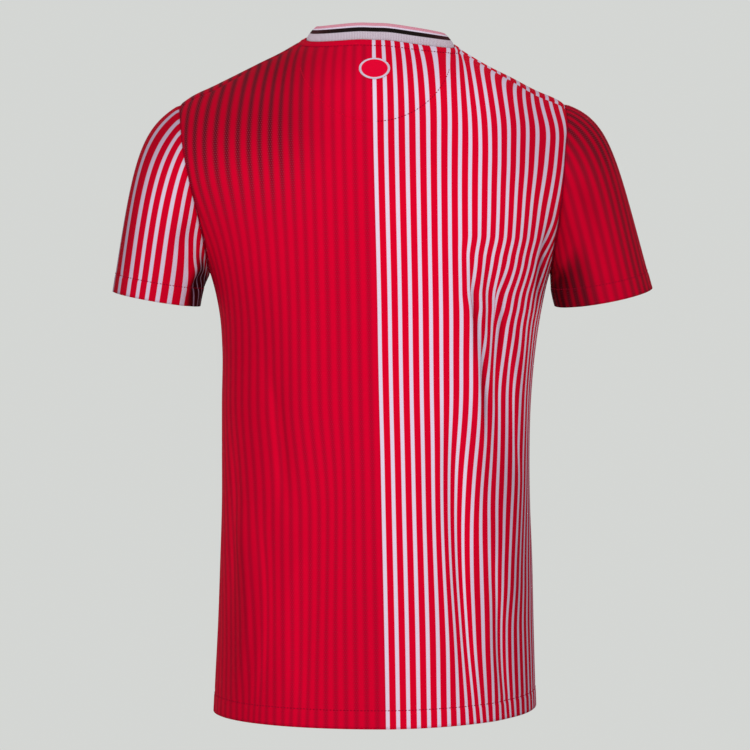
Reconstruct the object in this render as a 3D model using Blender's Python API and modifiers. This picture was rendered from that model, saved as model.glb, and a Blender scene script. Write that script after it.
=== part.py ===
"""Short-sleeved crew-neck football jersey, filled out as on an invisible figure, open at neck, cuffs and hem.

Metres, +Z up. The back faces -Y, the front +Y, and the wearer's right is at +X. The origin is in the middle
of the neck opening, level with the points where the neck meets the shoulders.

The torso is one smooth surface, read from horizontal sections below the underarm and from a rounded shoulder
line above it. Each cut piece is a grid of points on its own stretch of that surface, given its wall by Solidify.
"""

import math
from collections import namedtuple
from functools import lru_cache

import bmesh
import bpy
import numpy as np

CLOTH = 0.0012          # wall of the knitted cloth
RIB = 0.0020            # wall of the collar band, rib folded double
PATCH = 0.0010          # wall of the nape patch
SEAM_GAP = 0.0003       # between two pieces that are sewn together

UNDERARM = -0.2450      # height of the bottom of both armholes
SHOULDER_TIP = -0.0660  # height of the top of both armholes
SQUARENESS = 2.2        # exponent of the sections: 2 is an ellipse, more is squarer

# Horizontal sections of the torso: how far it reaches to the left and the right, its centre line, and how
# deep it is to the back and the front of the side seams' plane.
Section = namedtuple("Section", "height left right centre back front")
SECTIONS = (
    Section(-0.7200, -0.1720, 0.1718, 0.0132, 0.118, 0.112),
    Section(-0.6800, -0.1702, 0.1705, 0.0126, 0.117, 0.111),
    Section(-0.6160, -0.1670, 0.1688, 0.0114, 0.115, 0.110),
    Section(-0.5520, -0.1648, 0.1674, 0.0100, 0.113, 0.109),
    Section(-0.4880, -0.1630, 0.1650, 0.0086, 0.112, 0.109),
    Section(-0.4340, -0.1630, 0.1645, 0.0075, 0.112, 0.110),
    Section(-0.3810, -0.1630, 0.1660, 0.0062, 0.114, 0.113),
    Section(-0.3270, -0.1625, 0.1708, 0.0051, 0.117, 0.118),
    Section(-0.2890, -0.1653, 0.1764, 0.0045, 0.119, 0.121),
    Section(-0.2450, -0.1755, 0.1862, 0.0036, 0.121, 0.123),
    Section(-0.2200, -0.1850, 0.1953, 0.0030, 0.121, 0.123),
    Section(-0.1900, -0.2006, 0.2092, 0.0022, 0.121, 0.122),
    Section(-0.1500, -0.2229, 0.2257, 0.0012, 0.119, 0.120),
    Section(-0.1150, -0.2393, 0.2376, 0.0004, 0.117, 0.118),
    Section(-0.0900, -0.2472, 0.2449, 0.0000, 0.115, 0.116),
    Section(-0.0660, -0.2525, 0.2461, -0.0004, 0.113, 0.115),
    Section(0.0000, -0.2534, 0.2466, -0.0013, 0.110, 0.113),
    Section(0.0300, -0.2534, 0.2466, -0.0013, 0.108, 0.112),
)

# The hem's height at the left side seam, the centre and the right side seam, and how it curves between them.
HEM_LEFT, HEM_CENTRE, HEM_RIGHT = -0.7110, -0.7155, -0.7040
HEM_CURVE = 1.4

# The shoulder line: its height on the left and on the right, by the distance out from the centre, and how
# far the shoulder seam lies behind it.
Shoulder = namedtuple("Shoulder", "out left right seam_back")
SHOULDERS = (
    Shoulder(0.000, 0.0236, 0.0236, 0.031),
    Shoulder(0.040, 0.0172, 0.0172, 0.031),
    Shoulder(0.075, 0.0033, 0.0032, 0.031),
    Shoulder(0.100, -0.0108, -0.0126, 0.029),
    Shoulder(0.120, -0.0206, -0.0243, 0.029),
    Shoulder(0.145, -0.0332, -0.0367, 0.033),
    Shoulder(0.170, -0.0455, -0.0498, 0.033),
    Shoulder(0.195, -0.0572, -0.0606, 0.026),
    Shoulder(0.210, -0.0670, -0.0700, 0.020),
)

# How the torso falls from the shoulder line on each face: over what height, and with what roundness (2 is a
# quarter ellipse, less is flatter). run is about how much cloth lies over that fall.
Fall = namedtuple("Fall", "height roundness run")
BACK, FRONT = -1, 1
FALLS = {BACK: Fall(0.115, 2.0, 0.185), FRONT: Fall(0.230, 1.6, 0.275)}

ARMHOLE_SHARE = 0.62    # how deep the armhole seam lies at its top, of the whole depth of that face
FRONT_SCOOP = 0.008     # the front armhole is cut this much further in

# The neckline in plan: an oval whose widest line is where the shoulder seams end.
NECK_MIDDLE, NECK_HALF = 0.0057, 0.0784
NECK_SEAM_BACK = 0.0310
NECK_BACK, NECK_FRONT = 0.0750, 0.0800
NECK_SQUARENESS = {BACK: 2.1, FRONT: 2.7}
SEAM_BLEND = 0.15       # over this share of NECK_HALF past the neckline, the seam settles on its own table

# Large soft folds of the torso: ridges have a positive depth, troughs a negative one.
Fold = namedtuple("Fold", "face top bottom x_top x_middle x_bottom width depth")
FOLDS = (
    Fold(BACK, -0.20, -0.56, 0.118, 0.128, 0.118, 0.020, -0.0060),
    Fold(BACK, -0.17, -0.50, 0.090, 0.104, 0.122, 0.018, 0.0045),
    Fold(BACK, -0.26, -0.66, 0.150, 0.146, 0.112, 0.020, 0.0050),
    Fold(BACK, -0.24, -0.52, -0.130, -0.112, -0.100, 0.022, -0.0045),
    Fold(BACK, -0.44, -0.72, -0.132, -0.120, -0.134, 0.022, 0.0050),
    Fold(FRONT, -0.20, -0.58, -0.128, -0.110, -0.096, 0.022, -0.0055),
    Fold(FRONT, -0.22, -0.62, 0.134, 0.120, 0.108, 0.022, -0.0050),
    Fold(FRONT, -0.40, -0.72, 0.060, 0.070, 0.084, 0.026, 0.0045),
)
FOLD_FADE = 0.10        # length over which each end of a fold fades out

# Sleeves. The cuff is an oval: middle, half its width and half its depth; slope is how far its outer edge is
# above its inner edge, dip how far its back edge hangs below its front edge. The last three say how much the
# cloth heads outwards, from 0 straight down to 1 level: at the armhole's top and its bottom, and at the cuff.
Sleeve = namedtuple("Sleeve", "cuff_x cuff_y cuff_z half_width half_depth slope dip top_out under_out cuff_out")
SLEEVES = {
    "sleeve_left": Sleeve(-0.2332, -0.004, -0.2722, 0.0457, 0.0640, 0.0161, 0.010, 0.865, 0.30, 0.15),
    "sleeve_right": Sleeve(0.2438, -0.004, -0.2700, 0.0513, 0.0610, 0.0195, 0.017, 0.96, 0.22, 0.27),
}
SLEEVE_START_PULL, SLEEVE_END_PULL = 0.75, 2.00     # how firmly those directions hold, at armhole and cuff
SLEEVE_SWELL = 0.16     # how far the back and the front of the sleeve lean out as they leave the armhole
SLEEVE_CLEAR_TOP, SLEEVE_CLEAR_UNDER = 0.0006, 0.0017     # gap to the panels, wider where the seam turns in

# The collar band: how far it leans in from upright, by the angle round the neck from the middle of the back.
Lean = namedtuple("Lean", "turn lean")
COLLAR_LEANS = (Lean(0, 20), Lean(50, 34), Lean(75, 50), Lean(105, 66), Lean(135, 58), Lean(180, 46))
COLLAR_WIDTH = 0.0180
COLLAR_BOW = 0.0012     # how far the band bows out between its edges
COLLAR_CLEAR = 0.0008

# The nape patch is an oval on the centre line.
PATCH_X, PATCH_Z = -0.0005, -0.0395
PATCH_HALF_WIDTH, PATCH_HALF_HEIGHT = 0.0160, 0.0115

# Grid sizes. The collar has a column at each neck column of the panels, and the sleeves at each yoke row.
COLUMNS_NECK, COLUMNS_SHOULDER = 16, 7
ROWS_BODY, ROWS_YOKE = 12, 12
YOKE_CROWD = 1.2        # more than 1 sets the yoke's rows closer together towards the underarm
PANEL_SPREAD = 0.190    # half the cloth across a panel
TOP_TURN = 0.070        # over about this length the columns turn to meet a panel's top edge squarely
ROWS_SLEEVE, ROWS_COLLAR = 8, 2
ROUND_PATCH, RINGS_PATCH = 24, 2
EDGE_SAMPLES = 241
WAY_LOW, WAY_BEYOND = 1.6, -0.8     # how far down a panel, and past the shoulder line, its top edge is sought


# ---------------------------------------------------------------- smooth tables

def smooth(x, xs, ys):
    """A smooth curve through the points (xs, ys), read at x and held level past its ends."""
    slopes = np.gradient(ys, xs)
    i = np.clip(np.searchsorted(xs, x) - 1, 0, len(xs) - 2)
    step = xs[i + 1] - xs[i]
    t = np.clip((x - xs[i]) / step, 0.0, 1.0)
    start = ys[i] * (1 + 2 * t) * (1 - t) ** 2 + slopes[i] * step * t * (1 - t) ** 2
    end = ys[i + 1] * (3 - 2 * t) * t ** 2 - slopes[i + 1] * step * (1 - t) * t ** 2
    return start + end


@lru_cache(maxsize=None)
def column(rows, name):
    """One named column of a table."""
    return np.array([getattr(row, name) for row in rows])


def section(name, height):
    return smooth(height, column(SECTIONS, "height"), column(SECTIONS, name))


def shoulder_line(x):
    """Height of the shoulder line, the highest line of the torso, at x."""
    out = column(SHOULDERS, "out")
    left = smooth(np.abs(x), out, column(SHOULDERS, "left"))
    right = smooth(np.abs(x), out, column(SHOULDERS, "right"))
    return np.where(np.asarray(x) < 0, left, right)


# ---------------------------------------------------------------- the torso's surface

def armhole_rise(height):
    """0 at the underarm and below, 1 at the shoulder tip and above."""
    return np.clip((height - UNDERARM) / (SHOULDER_TIP - UNDERARM), 0.0, 1.0)


def torso_span(height):
    """The middle and the half width of the torso at a height."""
    left, right = section("left", height), section("right", height)
    return (left + right) / 2, (right - left) / 2


def edge_offset(height, face):
    """Where a panel's side edge lies, of the torso's half width: 1 at the side seam, less at the armhole."""
    rise = armhole_rise(height)
    depth_share = ARMHOLE_SHARE * np.sqrt(1 - (1 - rise) ** 2)
    scoop = FRONT_SCOOP * np.sin(math.pi * rise) ** 2 if face == FRONT else 0.0
    return (1 - depth_share ** SQUARENESS) ** (1 / SQUARENESS) - scoop / torso_span(height)[1]


def section_turn(offset):
    """The angle round a section, from the middle of a face, of a point at an offset from the middle."""
    return np.sign(offset) * np.arcsin(np.minimum(np.abs(offset), 1.0) ** (SQUARENESS / 2))


def across(u, height, face):
    """x of the point a share u of the way across a panel: -1 is its left edge, 0 the centre line, 1 its right."""
    middle, half = torso_span(height)
    centre_turn = section_turn((section("centre", height) - middle) / half)
    edge_turn = section_turn(edge_offset(height, face))
    turn = centre_turn + np.abs(u) * (np.sign(u) * edge_turn - centre_turn)
    return middle + half * np.sign(turn) * np.abs(np.sin(turn)) ** (2 / SQUARENESS)


def full_depth(x, height, face):
    """Depth of the torso at x, before the shoulder's rounding."""
    middle, half = torso_span(height)
    depth = section("back" if face == BACK else "front", height)
    offset = np.minimum(np.abs(x - middle) / half, 1.0)
    return depth * (1 - offset ** SQUARENESS) ** (1 / SQUARENESS)


def rounding(way, face):
    """(drop below the shoulder line, share of the full depth) a way down a face: 1 is where the fall ends."""
    fall = FALLS[face]
    angle = np.clip(way, 0.0, 1.0) * math.pi / 2
    drop = fall.height * (1 - np.cos(angle) + np.maximum(way - 1, 0.0) * math.pi / 2)
    return drop, (1 - np.cos(angle) ** fall.roundness) ** (1 / fall.roundness)


def way_at_drop(drop, face):
    fall = FALLS[face]
    t = drop / fall.height
    return np.where(t < 1, np.arccos(1 - np.clip(t, 0.0, 1.0)) * 2 / math.pi, 1 + (t - 1) * 2 / math.pi)


def column_top(u):
    """Height of the shoulder line at u across, where the back and the front panel share one u."""
    return shoulder_line(across(u, SHOULDER_TIP, BACK))


def torso_points(u, ways, panel):
    """Points of a panel at u across and at signed ways from the shoulder line: negative is the back."""
    u, ways = np.broadcast_arrays(u, ways)
    drop_back, share_back = rounding(np.abs(ways), BACK)
    drop_front, share_front = rounding(np.abs(ways), FRONT)
    height = column_top(u) - np.where(ways < 0, drop_back, drop_front)
    x = across(u, height, panel)
    y_back = -full_depth(x, height, BACK) * share_back
    y_front = full_depth(x, height, FRONT) * share_front
    return np.stack([x, np.where(ways < 0, y_back, y_front), height], axis=-1)


def top_edge_y(x, panel):
    """y of a panel's top edge at x: the neckline, or the shoulder seam beyond it."""
    offset = np.abs(x - NECK_MIDDLE) / NECK_HALF
    reach = NECK_BACK - NECK_SEAM_BACK if panel == BACK else NECK_FRONT + NECK_SEAM_BACK
    power = NECK_SQUARENESS[panel]
    neck = panel * reach * (1 - np.clip(offset, 0, 1) ** power) ** (1 / power)
    seam = smooth(np.abs(x), column(SHOULDERS, "out"), column(SHOULDERS, "seam_back"))
    blend = np.clip((offset - 1) / SEAM_BLEND, 0, 1)
    return neck - NECK_SEAM_BACK - (seam - NECK_SEAM_BACK) * blend + panel * SEAM_GAP / 2


def top_ways(u, panel):
    """The signed way from the shoulder line at which a panel ends, at each u across."""
    ways = panel * np.linspace(WAY_LOW, WAY_BEYOND, EDGE_SAMPLES)
    points = torso_points(u[:, None], ways, panel)
    left_to_go = panel * (points[..., 1] - top_edge_y(points[..., 0], panel))
    last = EDGE_SAMPLES - 1 - np.argmax(left_to_go[:, ::-1] > 0, axis=1)
    row = np.arange(len(u))
    before, beyond = left_to_go[row, last], left_to_go[row, last + 1]
    return ways[last] + (ways[last + 1] - ways[last]) * before / (before - beyond)


# ---------------------------------------------------------------- grids of points

def resample(path, count):
    """count points, evenly spaced along a path."""
    lengths = np.linalg.norm(np.diff(path, axis=0), axis=1)
    along = np.concatenate([[0.0], np.cumsum(lengths)])
    wanted = np.linspace(0.0, along[-1], count)
    return np.stack([np.interp(wanted, along, values) for values in path.T], axis=1)


def loft(start, leave, end, arrive, shares):
    """Rows of points from start to end, which leave and arrive along two sets of directions."""
    s = shares[:, None, None]
    straight = start * (1 + 2 * s) * (1 - s) ** 2 + end * (3 - 2 * s) * s ** 2
    return straight + leave * s * (1 - s) ** 2 - arrive * (1 - s) * s ** 2


def top_plan(panel):
    """A panel's top edge in its flat plan, across and up in metres, at each column: even along each seam."""
    u = np.linspace(-1.0, 1.0, EDGE_SAMPLES)
    top_x = torso_points(u, top_ways(u, panel), panel)[:, 0]
    left, right = np.interp([NECK_MIDDLE - NECK_HALF, NECK_MIDDLE + NECK_HALF], top_x, u)
    neck = (left + right) / 2 + (right - left) / 2 * np.sin(u * math.pi / 2)
    seams = ((np.linspace(-1, left, EDGE_SAMPLES), COLUMNS_SHOULDER),
             (neck, COLUMNS_NECK),
             (np.linspace(right, 1, EDGE_SAMPLES), COLUMNS_SHOULDER))
    plans = []
    for shares, count in seams:
        up = -panel * top_ways(shares, panel) * FALLS[panel].run
        plans.append(resample(np.stack([shares * PANEL_SPREAD, up], axis=1), count + 1))
    return np.concatenate([plans[0], plans[1][1:], plans[2][1:]])


def yoke_grid(panel):
    """A panel's rows from the underarm up to its top edge, which its columns meet squarely."""
    top = top_plan(panel)
    u = np.linspace(-1.0, 1.0, len(top))
    run = FALLS[panel].run
    foot = np.stack([u * PANEL_SPREAD, -way_at_drop(column_top(u) - UNDERARM, panel) * run], axis=1)
    along = np.gradient(top, axis=0)
    square = np.stack([-along[:, 1], along[:, 0]], axis=1) / np.linalg.norm(along, axis=1, keepdims=True)
    square[[0, -1]] = (0, 1)
    upright = np.outer(np.linalg.norm(top - foot, axis=1), (0, 1))
    plan = loft(foot, upright, top, square * TOP_TURN, np.linspace(0, 1, ROWS_YOKE + 1) ** YOKE_CROWD)
    return torso_points(plan[..., 0] / PANEL_SPREAD, -panel * plan[..., 1] / run, panel)


def hem_height(u):
    return HEM_CENTRE + (np.where(u < 0, HEM_LEFT, HEM_RIGHT) - HEM_CENTRE) * np.abs(u) ** HEM_CURVE


def panel_grid(panel):
    """Rows of points of the back or front panel, from the hem to the top edge, each from left to right."""
    yoke = yoke_grid(panel)
    u = np.linspace(-1.0, 1.0, yoke.shape[1])
    heights = hem_height(u) + np.linspace(0, 1, ROWS_BODY + 1)[:-1, None] * (UNDERARM - hem_height(u))
    x = across(u, heights, panel)
    body = np.stack([x, panel * full_depth(x, heights, panel), heights], axis=-1)
    points = np.concatenate([body, yoke])
    seam = points[: ROWS_BODY + 1, :, 1]
    seam[:] = panel * np.maximum(panel * seam, SEAM_GAP / 2)
    return fold_panel(points, panel)


def normals(points):
    """Unit normals of a grid of points: its columns' direction crossed with its rows' direction."""
    cross = np.cross(np.gradient(points, axis=1), np.gradient(points, axis=0))
    return cross / np.maximum(np.linalg.norm(cross, axis=2, keepdims=True), 1e-9)


def fold_height(fold, x, height):
    """How far a fold lifts the cloth at x and a height."""
    run = (fold.top - height) / (fold.top - fold.bottom)
    bend = fold.x_top * (1 - run) ** 2 + fold.x_bottom * run ** 2
    path = bend + (2 * fold.x_middle - (fold.x_top + fold.x_bottom) / 2) * 2 * run * (1 - run)
    ends = np.clip((fold.top - height) / FOLD_FADE, 0, 1) * np.clip((height - fold.bottom) / FOLD_FADE, 0, 1)
    return fold.depth * np.exp(-((x - path) / fold.width) ** 2) * np.sin(ends * math.pi / 2) ** 2


def fold_panel(points, panel):
    """The grid with its folds; its edges stay where the seams hold them."""
    lift = sum(fold_height(f, points[..., 0], points[..., 2]) for f in FOLDS if f.face == panel)
    edge = np.abs(points[..., 0] - (points[:, :1, 0] + points[:, -1:, 0]) / 2)
    edge = edge / (points[:, -1:, 0] - points[:, :1, 0]) * 2
    return points - panel * normals(points) * (lift * np.clip((1 - edge) * 8, 0, 1))[..., None]


def armhole_ring(side, back, front):
    """The armhole from the shoulder seam down the back panel to the underarm and up the front panel."""
    edge = 0 if side < 0 else -1
    return np.concatenate([back[ROWS_BODY:, edge][::-1], front[ROWS_BODY + 1 : -1, edge]])


def armhole_turns(ring):
    """The angle round the sleeve of each point of its armhole: 0 at the shoulder seam, pi at the underarm."""
    steps = np.linalg.norm(np.roll(ring, -1, axis=0) - ring, axis=1)
    down, up = steps[:ROWS_YOKE], steps[ROWS_YOKE:]
    turns = np.cumsum(np.concatenate([down / down.sum(), up / up.sum()])) * math.pi
    return np.concatenate([[0.0], turns[:-1]])


def sleeve_grid(sleeve, back, front):
    """Rings of a sleeve from the armhole to the cuff; each starts at the top and runs round by the back."""
    side = math.copysign(1, sleeve.cuff_x)
    armhole = armhole_ring(side, back, front)
    turn = armhole_turns(armhole)
    under = (1 - np.cos(turn)) / 2
    clear = SLEEVE_CLEAR_TOP + (SLEEVE_CLEAR_UNDER - SLEEVE_CLEAR_TOP) * under
    ring = armhole + np.outer(clear, (side, 0, 0))
    cuff = np.stack([
        sleeve.cuff_x + side * sleeve.half_width * np.cos(turn),
        sleeve.cuff_y - sleeve.half_depth * np.sin(turn),
        sleeve.cuff_z + sleeve.slope / 2 * np.cos(turn) - sleeve.dip / 2 * np.sin(turn),
    ], axis=1)
    out = sleeve.top_out + (sleeve.under_out - sleeve.top_out) * under
    leave = np.stack([side * out, -SLEEVE_SWELL * np.sin(turn), -np.sqrt(1 - out ** 2)], axis=1)
    arrive = np.array([side * sleeve.cuff_out, 0.0, -math.sqrt(1 - sleeve.cuff_out ** 2)])
    chord = np.linalg.norm(cuff - ring, axis=1)[:, None]
    leave, arrive = leave * chord * SLEEVE_START_PULL, arrive * chord * SLEEVE_END_PULL
    return loft(ring, leave, cuff, arrive, np.linspace(0, 1, ROWS_SLEEVE + 1))


def neck_ring(back, front):
    """The neckline, from its left end along the back panel to its right end and back along the front panel."""
    neck = slice(COLUMNS_SHOULDER, COLUMNS_SHOULDER + COLUMNS_NECK + 1)
    return np.concatenate([back[-1, neck], front[-1, neck][-2:0:-1]])


def collar_grid(back, front):
    """Rings of the collar band, from its sewn edge to its free edge."""
    base = neck_ring(back, front)
    steps = np.roll(base, -1, axis=0) - base
    steps /= np.linalg.norm(steps, axis=1, keepdims=True)
    ahead = steps + np.roll(steps, 1, axis=0)
    inward = np.stack([-ahead[:, 1], ahead[:, 0], np.zeros(len(base))], axis=1)
    inward /= np.linalg.norm(inward, axis=1, keepdims=True)
    turns = np.degrees(np.arctan2(np.abs(base[:, 0] - NECK_MIDDLE), -base[:, 1] - NECK_SEAM_BACK))
    lean = np.radians(smooth(turns, column(COLLAR_LEANS, "turn"), column(COLLAR_LEANS, "lean")))
    rise = inward * np.sin(lean)[:, None] + np.outer(np.cos(lean), (0, 0, 1))
    bow = np.outer(np.sin(lean), (0, 0, 1)) - inward * np.cos(lean)[:, None]
    rows = []
    for s in np.linspace(0.0, 1.0, ROWS_COLLAR + 1):
        rows.append(base + rise * (COLLAR_CLEAR + COLLAR_WIDTH * s) + bow * COLLAR_BOW * 4 * s * (1 - s))
    return np.stack(rows)


def patch_rings():
    """Rings of the nape patch, on the back panel's surface and just clear of it, from its edge inwards."""
    turn = np.arange(ROUND_PATCH) * 2 * math.pi / ROUND_PATCH
    rings = []
    for size in np.linspace(1.0, 0.0, RINGS_PATCH + 1):
        x = PATCH_X + PATCH_HALF_WIDTH * size * np.cos(turn)
        height = PATCH_Z + PATCH_HALF_HEIGHT * size * np.sin(turn)
        way = way_at_drop(shoulder_line(x) - height, BACK)
        y = -full_depth(x, height, BACK) * rounding(way, BACK)[1]
        rings.append(np.stack([x, y, height], axis=1))
    clear = CLOTH / 2 + SEAM_GAP + PATCH / 2
    slope = (rings[0][ROUND_PATCH // 4] - rings[0][3 * ROUND_PATCH // 4])[1:]
    outward = np.array([0.0, -slope[1], slope[0]]) / np.linalg.norm(slope)
    return np.stack(rings) + outward * clear


# ---------------------------------------------------------------- objects

def material(name, colour, roughness):
    made = bpy.data.materials.new(name)
    made.use_nodes = True
    shader = made.node_tree.nodes["Principled BSDF"]
    shader.inputs["Base Color"].default_value = (*colour, 1.0)
    shader.inputs["Roughness"].default_value = roughness
    shader.inputs["Metallic"].default_value = 0.0
    return made


def cloth_object(name, points, wall, colour, closed=False, capped=False, flip=False):
    """A named piece of cloth: the grid's surface as a mesh, with its wall added half to each side."""
    rows, columns = points.shape[:2]
    cloth = bmesh.new()
    grid = [[cloth.verts.new(point) for point in row] for row in points[: rows - 1 if capped else rows]]
    for low, high in zip(grid, grid[1:]):
        for i in range(columns if closed else columns - 1):
            after = (i + 1) % columns
            cloth.faces.new((low[i], low[after], high[after], high[i]))
    bmesh.ops.triangulate(cloth, faces=cloth.faces[:], quad_method="SHORT_EDGE")
    if capped:
        centre = cloth.verts.new(points[-1, 0])
        for i in range(columns):
            cloth.faces.new((grid[-1][i], grid[-1][(i + 1) % columns], centre))
    if flip:
        bmesh.ops.reverse_faces(cloth, faces=cloth.faces)
    mesh = bpy.data.meshes.new(name)
    cloth.to_mesh(mesh)
    cloth.free()
    mesh.shade_smooth()
    made = bpy.data.objects.new(name, mesh)
    made.data.materials.append(material(name + "_cloth", *colour))
    solidify = made.modifiers.new("wall", "SOLIDIFY")
    solidify.thickness = wall
    solidify.offset = 0.0
    return made


def main():
    for old in list(bpy.data.objects):
        bpy.data.objects.remove(old)
    jersey = bpy.data.collections.new("football_jersey")
    bpy.context.scene.collection.children.link(jersey)

    back, front = panel_grid(BACK), panel_grid(FRONT)
    left, right = (sleeve_grid(sleeve, back, front) for sleeve in SLEEVES.values())
    red = ((0.63, 0.0, 0.02), 0.75)
    pinstripe = ((0.72, 0.30, 0.34), 0.75)
    rib = ((0.62, 0.56, 0.60), 0.85)
    pieces = [
        cloth_object("back", back, CLOTH, red),
        cloth_object("front", front, CLOTH, red, flip=True),
        cloth_object("sleeve_left", left, CLOTH, pinstripe, closed=True),
        cloth_object("sleeve_right", right, CLOTH, red, closed=True, flip=True),
        cloth_object("collar", collar_grid(back, front), RIB, rib, closed=True),
        cloth_object("nape_patch", patch_rings(), PATCH, red, closed=True, capped=True),
    ]
    for piece in pieces:
        jersey.objects.link(piece)


main()
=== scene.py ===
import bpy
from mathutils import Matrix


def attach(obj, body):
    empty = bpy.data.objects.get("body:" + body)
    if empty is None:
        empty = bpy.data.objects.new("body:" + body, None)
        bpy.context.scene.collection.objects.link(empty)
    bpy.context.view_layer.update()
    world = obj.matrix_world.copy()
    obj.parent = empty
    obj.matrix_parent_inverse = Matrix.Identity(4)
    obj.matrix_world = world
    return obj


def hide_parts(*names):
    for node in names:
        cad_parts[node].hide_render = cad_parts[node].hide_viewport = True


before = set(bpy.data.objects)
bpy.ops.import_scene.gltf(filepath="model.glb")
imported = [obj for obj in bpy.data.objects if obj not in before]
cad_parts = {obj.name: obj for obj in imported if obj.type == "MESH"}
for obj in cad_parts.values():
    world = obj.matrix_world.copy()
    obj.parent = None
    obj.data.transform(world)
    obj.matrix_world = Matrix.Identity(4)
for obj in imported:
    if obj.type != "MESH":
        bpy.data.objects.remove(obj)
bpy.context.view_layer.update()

# Football jersey, filled out as on an invisible figure. Metres, +Z up; the back faces -Y and the wearer's
# right is at +X. The cloth follows the same sections, shoulder line and sleeves as its CAD pieces, on a finer
# grid, with smaller folds, seams, hems and stitching added. Each panel is also laid flat by calculation, and
# its stripes are drawn on that flat cut, so that they run with the grain of the cloth.

import math
from collections import namedtuple
from functools import lru_cache

import bpy
import numpy as np
from mathutils import Vector
from mathutils.bvhtree import BVHTree


def table(row, *values):
    """A table: a named row of each set of values."""
    return tuple(row(*each) for each in values)


CLOTH = 0.0012          # wall of the knitted cloth
RIB = 0.0020            # wall of the collar band, rib folded double
SEAM_GAP = 0.0003       # between two pieces that are sewn together

UNDERARM = -0.2450      # height of the bottom of both armholes
SHOULDER_TIP = -0.0660  # height of the top of both armholes
SQUARENESS = 2.2        # exponent of the sections: 2 is an ellipse, more is squarer

# Horizontal sections of the torso: how far it reaches to the left and the right, its centre line, and how
# deep it is to the back and the front of the side seams' plane.
Section = namedtuple("Section", "height left right centre back front")
SECTIONS = table(Section,
    (-0.7200, -0.1720, 0.1718, 0.0132, 0.118, 0.112),
    (-0.6800, -0.1702, 0.1705, 0.0126, 0.117, 0.111),
    (-0.6160, -0.1670, 0.1688, 0.0114, 0.115, 0.110),
    (-0.5520, -0.1648, 0.1674, 0.0100, 0.113, 0.109),
    (-0.4880, -0.1630, 0.1650, 0.0086, 0.112, 0.109),
    (-0.4340, -0.1630, 0.1645, 0.0075, 0.112, 0.110),
    (-0.3810, -0.1630, 0.1660, 0.0062, 0.114, 0.113),
    (-0.3270, -0.1625, 0.1708, 0.0051, 0.117, 0.118),
    (-0.2890, -0.1653, 0.1764, 0.0045, 0.119, 0.121),
    (-0.2450, -0.1755, 0.1862, 0.0036, 0.121, 0.123),
    (-0.2200, -0.1850, 0.1953, 0.0030, 0.121, 0.123),
    (-0.1900, -0.2006, 0.2092, 0.0022, 0.121, 0.122),
    (-0.1500, -0.2229, 0.2257, 0.0012, 0.119, 0.120),
    (-0.1150, -0.2393, 0.2376, 0.0004, 0.117, 0.118),
    (-0.0900, -0.2472, 0.2449, 0.0000, 0.115, 0.116),
    (-0.0660, -0.2525, 0.2461, -0.0004, 0.113, 0.115),
    (0.0000, -0.2534, 0.2466, -0.0013, 0.110, 0.113),
    (0.0300, -0.2534, 0.2466, -0.0013, 0.108, 0.112),
)

# The hem's height at the left side seam, the centre and the right side seam, and how it curves between them.
HEM_LEFT, HEM_CENTRE, HEM_RIGHT = -0.7110, -0.7155, -0.7040
HEM_CURVE = 1.4

# The shoulder line: its height on the left and on the right, by the distance out from the centre, and how
# far the shoulder seam lies behind it.
Shoulder = namedtuple("Shoulder", "out left right seam_back")
SHOULDERS = table(Shoulder,
    (0.000, 0.0236, 0.0236, 0.031),
    (0.012, 0.0233, 0.0233, 0.031),
    (0.040, 0.0172, 0.0172, 0.031),
    (0.075, 0.0033, 0.0032, 0.031),
    (0.100, -0.0108, -0.0126, 0.029),
    (0.120, -0.0206, -0.0243, 0.029),
    (0.145, -0.0332, -0.0367, 0.033),
    (0.170, -0.0455, -0.0498, 0.033),
    (0.195, -0.0572, -0.0606, 0.026),
    (0.210, -0.0670, -0.0700, 0.020),
)

# How the torso falls from the shoulder line on each face: over what height, and with what roundness (2 is a
# quarter ellipse, less is flatter). run is about how much cloth lies over that fall.
Fall = namedtuple("Fall", "height roundness run")
BACK, FRONT = -1, 1
FALLS = {BACK: Fall(0.115, 2.0, 0.185), FRONT: Fall(0.230, 1.6, 0.275)}

ARMHOLE_SHARE = 0.62    # how deep the armhole seam lies at its top, of the whole depth of that face
FRONT_SCOOP = 0.008     # the front armhole is cut this much further in

# The neckline in plan: an oval whose widest line is where the shoulder seams end.
NECK_MIDDLE, NECK_HALF = 0.0057, 0.0784
NECK_SEAM_BACK = 0.0310
NECK_BACK, NECK_FRONT = 0.0750, 0.0800
NECK_SQUARENESS = {BACK: 2.1, FRONT: 2.7}
SEAM_BLEND = 0.15       # over this share of NECK_HALF past the neckline, the seam settles on its own table

# Folds of the torso: ridges have a positive depth, troughs a negative one. FOLDS are the CAD's own, and
# CREASES are added to them.
Fold = namedtuple("Fold", "top bottom x_top x_middle x_bottom width depth fade")
FOLDS = {
    BACK: table(Fold,
        (-0.20, -0.56, 0.118, 0.128, 0.118, 0.020, -0.0060, 0.10),
        (-0.17, -0.50, 0.090, 0.104, 0.122, 0.018, 0.0045, 0.10),
        (-0.26, -0.66, 0.150, 0.146, 0.112, 0.020, 0.0050, 0.10),
        (-0.24, -0.52, -0.130, -0.112, -0.100, 0.022, -0.0045, 0.10),
        (-0.44, -0.72, -0.132, -0.120, -0.134, 0.022, 0.0050, 0.10),
    ),
    FRONT: table(Fold,
        (-0.20, -0.58, -0.128, -0.110, -0.096, 0.022, -0.0055, 0.10),
        (-0.22, -0.62, 0.134, 0.120, 0.108, 0.022, -0.0050, 0.10),
        (-0.40, -0.72, 0.060, 0.070, 0.084, 0.026, 0.0045, 0.10),
    ),
}
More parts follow.
